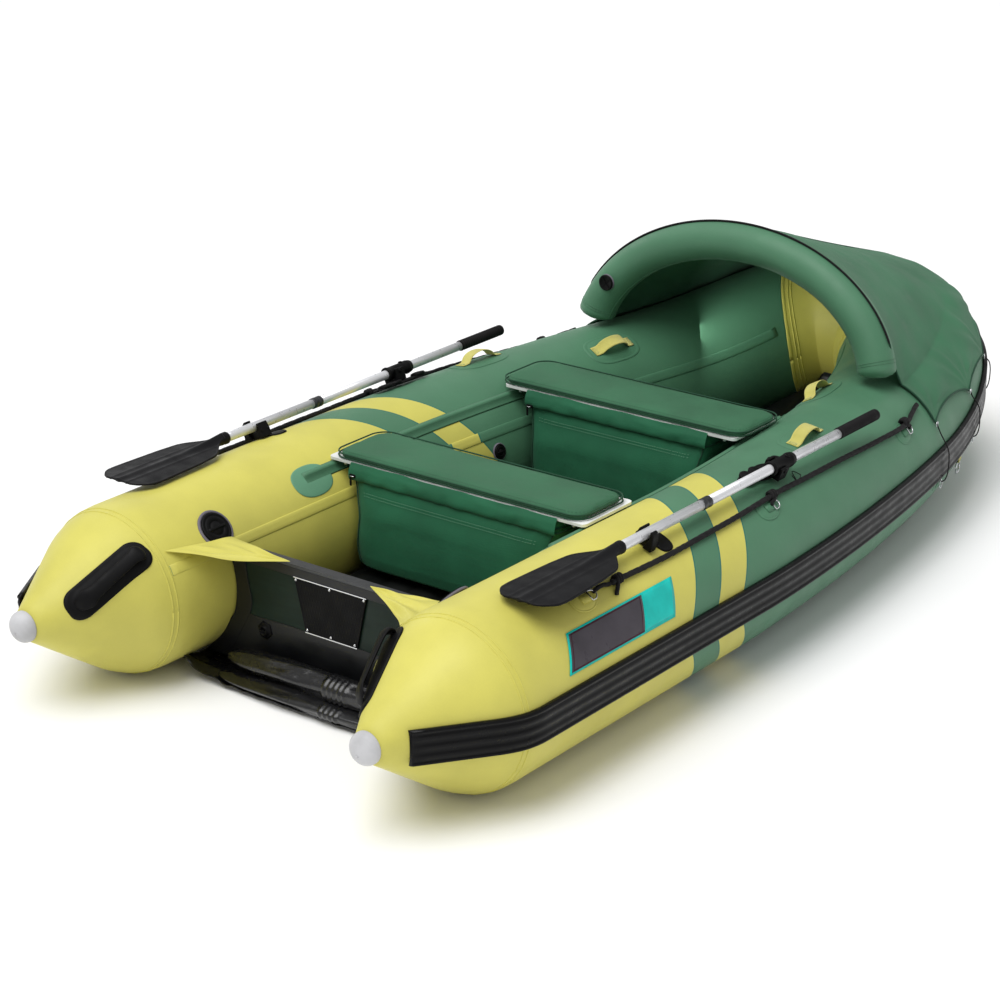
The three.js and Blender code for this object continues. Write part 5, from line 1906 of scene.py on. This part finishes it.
def lifeline(word, side):
    """The rope along a side tube, with its knots and rings."""
    path = spline([(s, a, 0) for s, a in LIFELINE], 80)
    line = [skin(p.x, p.y, 0.0082 + 0.0015 * math.sin(p.x * 9) ** 2, side) for p in path]
    obj = rope(f"{word}_line", line, 0.0074, "hull")
    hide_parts(f"{word}_lifeline")
    for k, (s, a, ps, pa, ks, ka) in enumerate(RINGS):
        d_ring(f"{word}_line_ring_{k}", s, ps, pa, side)
        f = hull_frame(ks)
        along = Vector((side * f.along.x, f.along.y, f.along.z)).normalized()
        n = f.radial(ka)
        normal = Vector((side * n.x, n.y, n.z))
        coil(f"{word}_line_knot_{k}", skin(ks, ka, 0.0085, side), along, normal, 0.0100, 3, 0.0050)
        if k < 2:
            loop = spline([skin(ks, ka, 0.0090, side), skin(ks - 0.004, ka - 3, 0.0110, side),
                           skin(s + 0.012, a + 1, 0.0080, side), skin(s + 0.002, a - 0.5, 0.0060, side)],
                           30)
            round_cord(f"{word}_line_loop_{k}", loop, 0.0050, "rope", "hull", "black_rope", 10, 0.12,
                       0.032)
    tail = spline([skin(0.845, 55, 0.0085, side), skin(0.822, 50.5, 0.0075, side),
                   skin(0.806, 47.5, 0.0050, side)], 24)
    round_cord(f"{word}_line_tail", tail, 0.0058, "rope", "hull", "black_rope", 10, 0.12, 0.026)
    strand = spline([skin(0.812, 55, 0.0070, side), skin(0.775, 56.4, 0.0090, side),
                     skin(0.742, 55.6, 0.0060, side)], 24)
    round_cord(f"{word}_line_end", strand, 0.0058, "rope", "hull", "black_rope", 10, 0.12, 0.026)


# ---- side label ----
def label_panel(name, a0, a1, b0, b1, mat, lift, side):
    """A thin rectangle of the label: a along the tube and b up it, both from 0 to 1."""
    rows, columns = 14, 36
    verts = []
    for i in range(rows + 1):
        b = b0 + (b1 - b0) * i / rows
        for j in range(columns + 1):
            a = a0 + (a1 - a0) * j / columns
            verts.append(skin(0.527 + 0.450 * a + 0.048 * b, 18.3 + 23.4 * b, lift, side))
    obj = piece(name, verts, strip_faces(rows + 1, columns + 1, False), mat, "hull", "black_plastic")
    modify(obj, "SOLIDIFY", thickness=0.0003, offset=-1.0)
    return obj


def label(word, side):
    """A plain panel in two tones on the side of a tube."""
    label_panel(f"{word}_label_edge", 0.0, 1.0, 0.0, 1.0, "label_teal", 0.0011, side)
    label_panel(f"{word}_label_dark", 0.018, 0.700, 0.05, 0.95, "label_dark", 0.0015, side)
    label_panel(f"{word}_label_teal", 0.715, 0.985, 0.05, 0.95, "label_bright", 0.0015, side)
    lines = ((0.034, 0.684, 0.90, 0.925), (0.034, 0.684, 0.075, 0.10), (0.034, 0.040, 0.10, 0.90),
             (0.678, 0.684, 0.10, 0.90))
    for k, (a0, a1, b0, b1) in enumerate(lines):
        label_panel(f"{word}_label_line_{k}", a0, a1, b0, b1, "label_red", 0.0018, side)


for word, side in SIDES:
    oar(word, side)
    rowlock(word, side)
    keeper(word, side)
    webbing_handle(word, "aft_handle", 1.938, 80, side)
    webbing_handle(word, "bow_handle", 2.375, 118, side)
    cone_handle(word, side)
    valve(f"{word}_stern_valve", 0.570, 139, side, 0.050, f"{word}_stern_valve_cap_body",
          f"{word}_stern_valve_cap")
    valve(f"{word}_side_valve", 1.737, 167, side, 0.024, f"{word}_side_valve_cap_body",
          f"{word}_side_valve_cap")
    tow_ring(word, side)
    lifeline(word, side)
    label(word, side)
arch()
cover()
for k, b in enumerate(lash_parameters()):
    lashing(f"lashing_{k}", b)
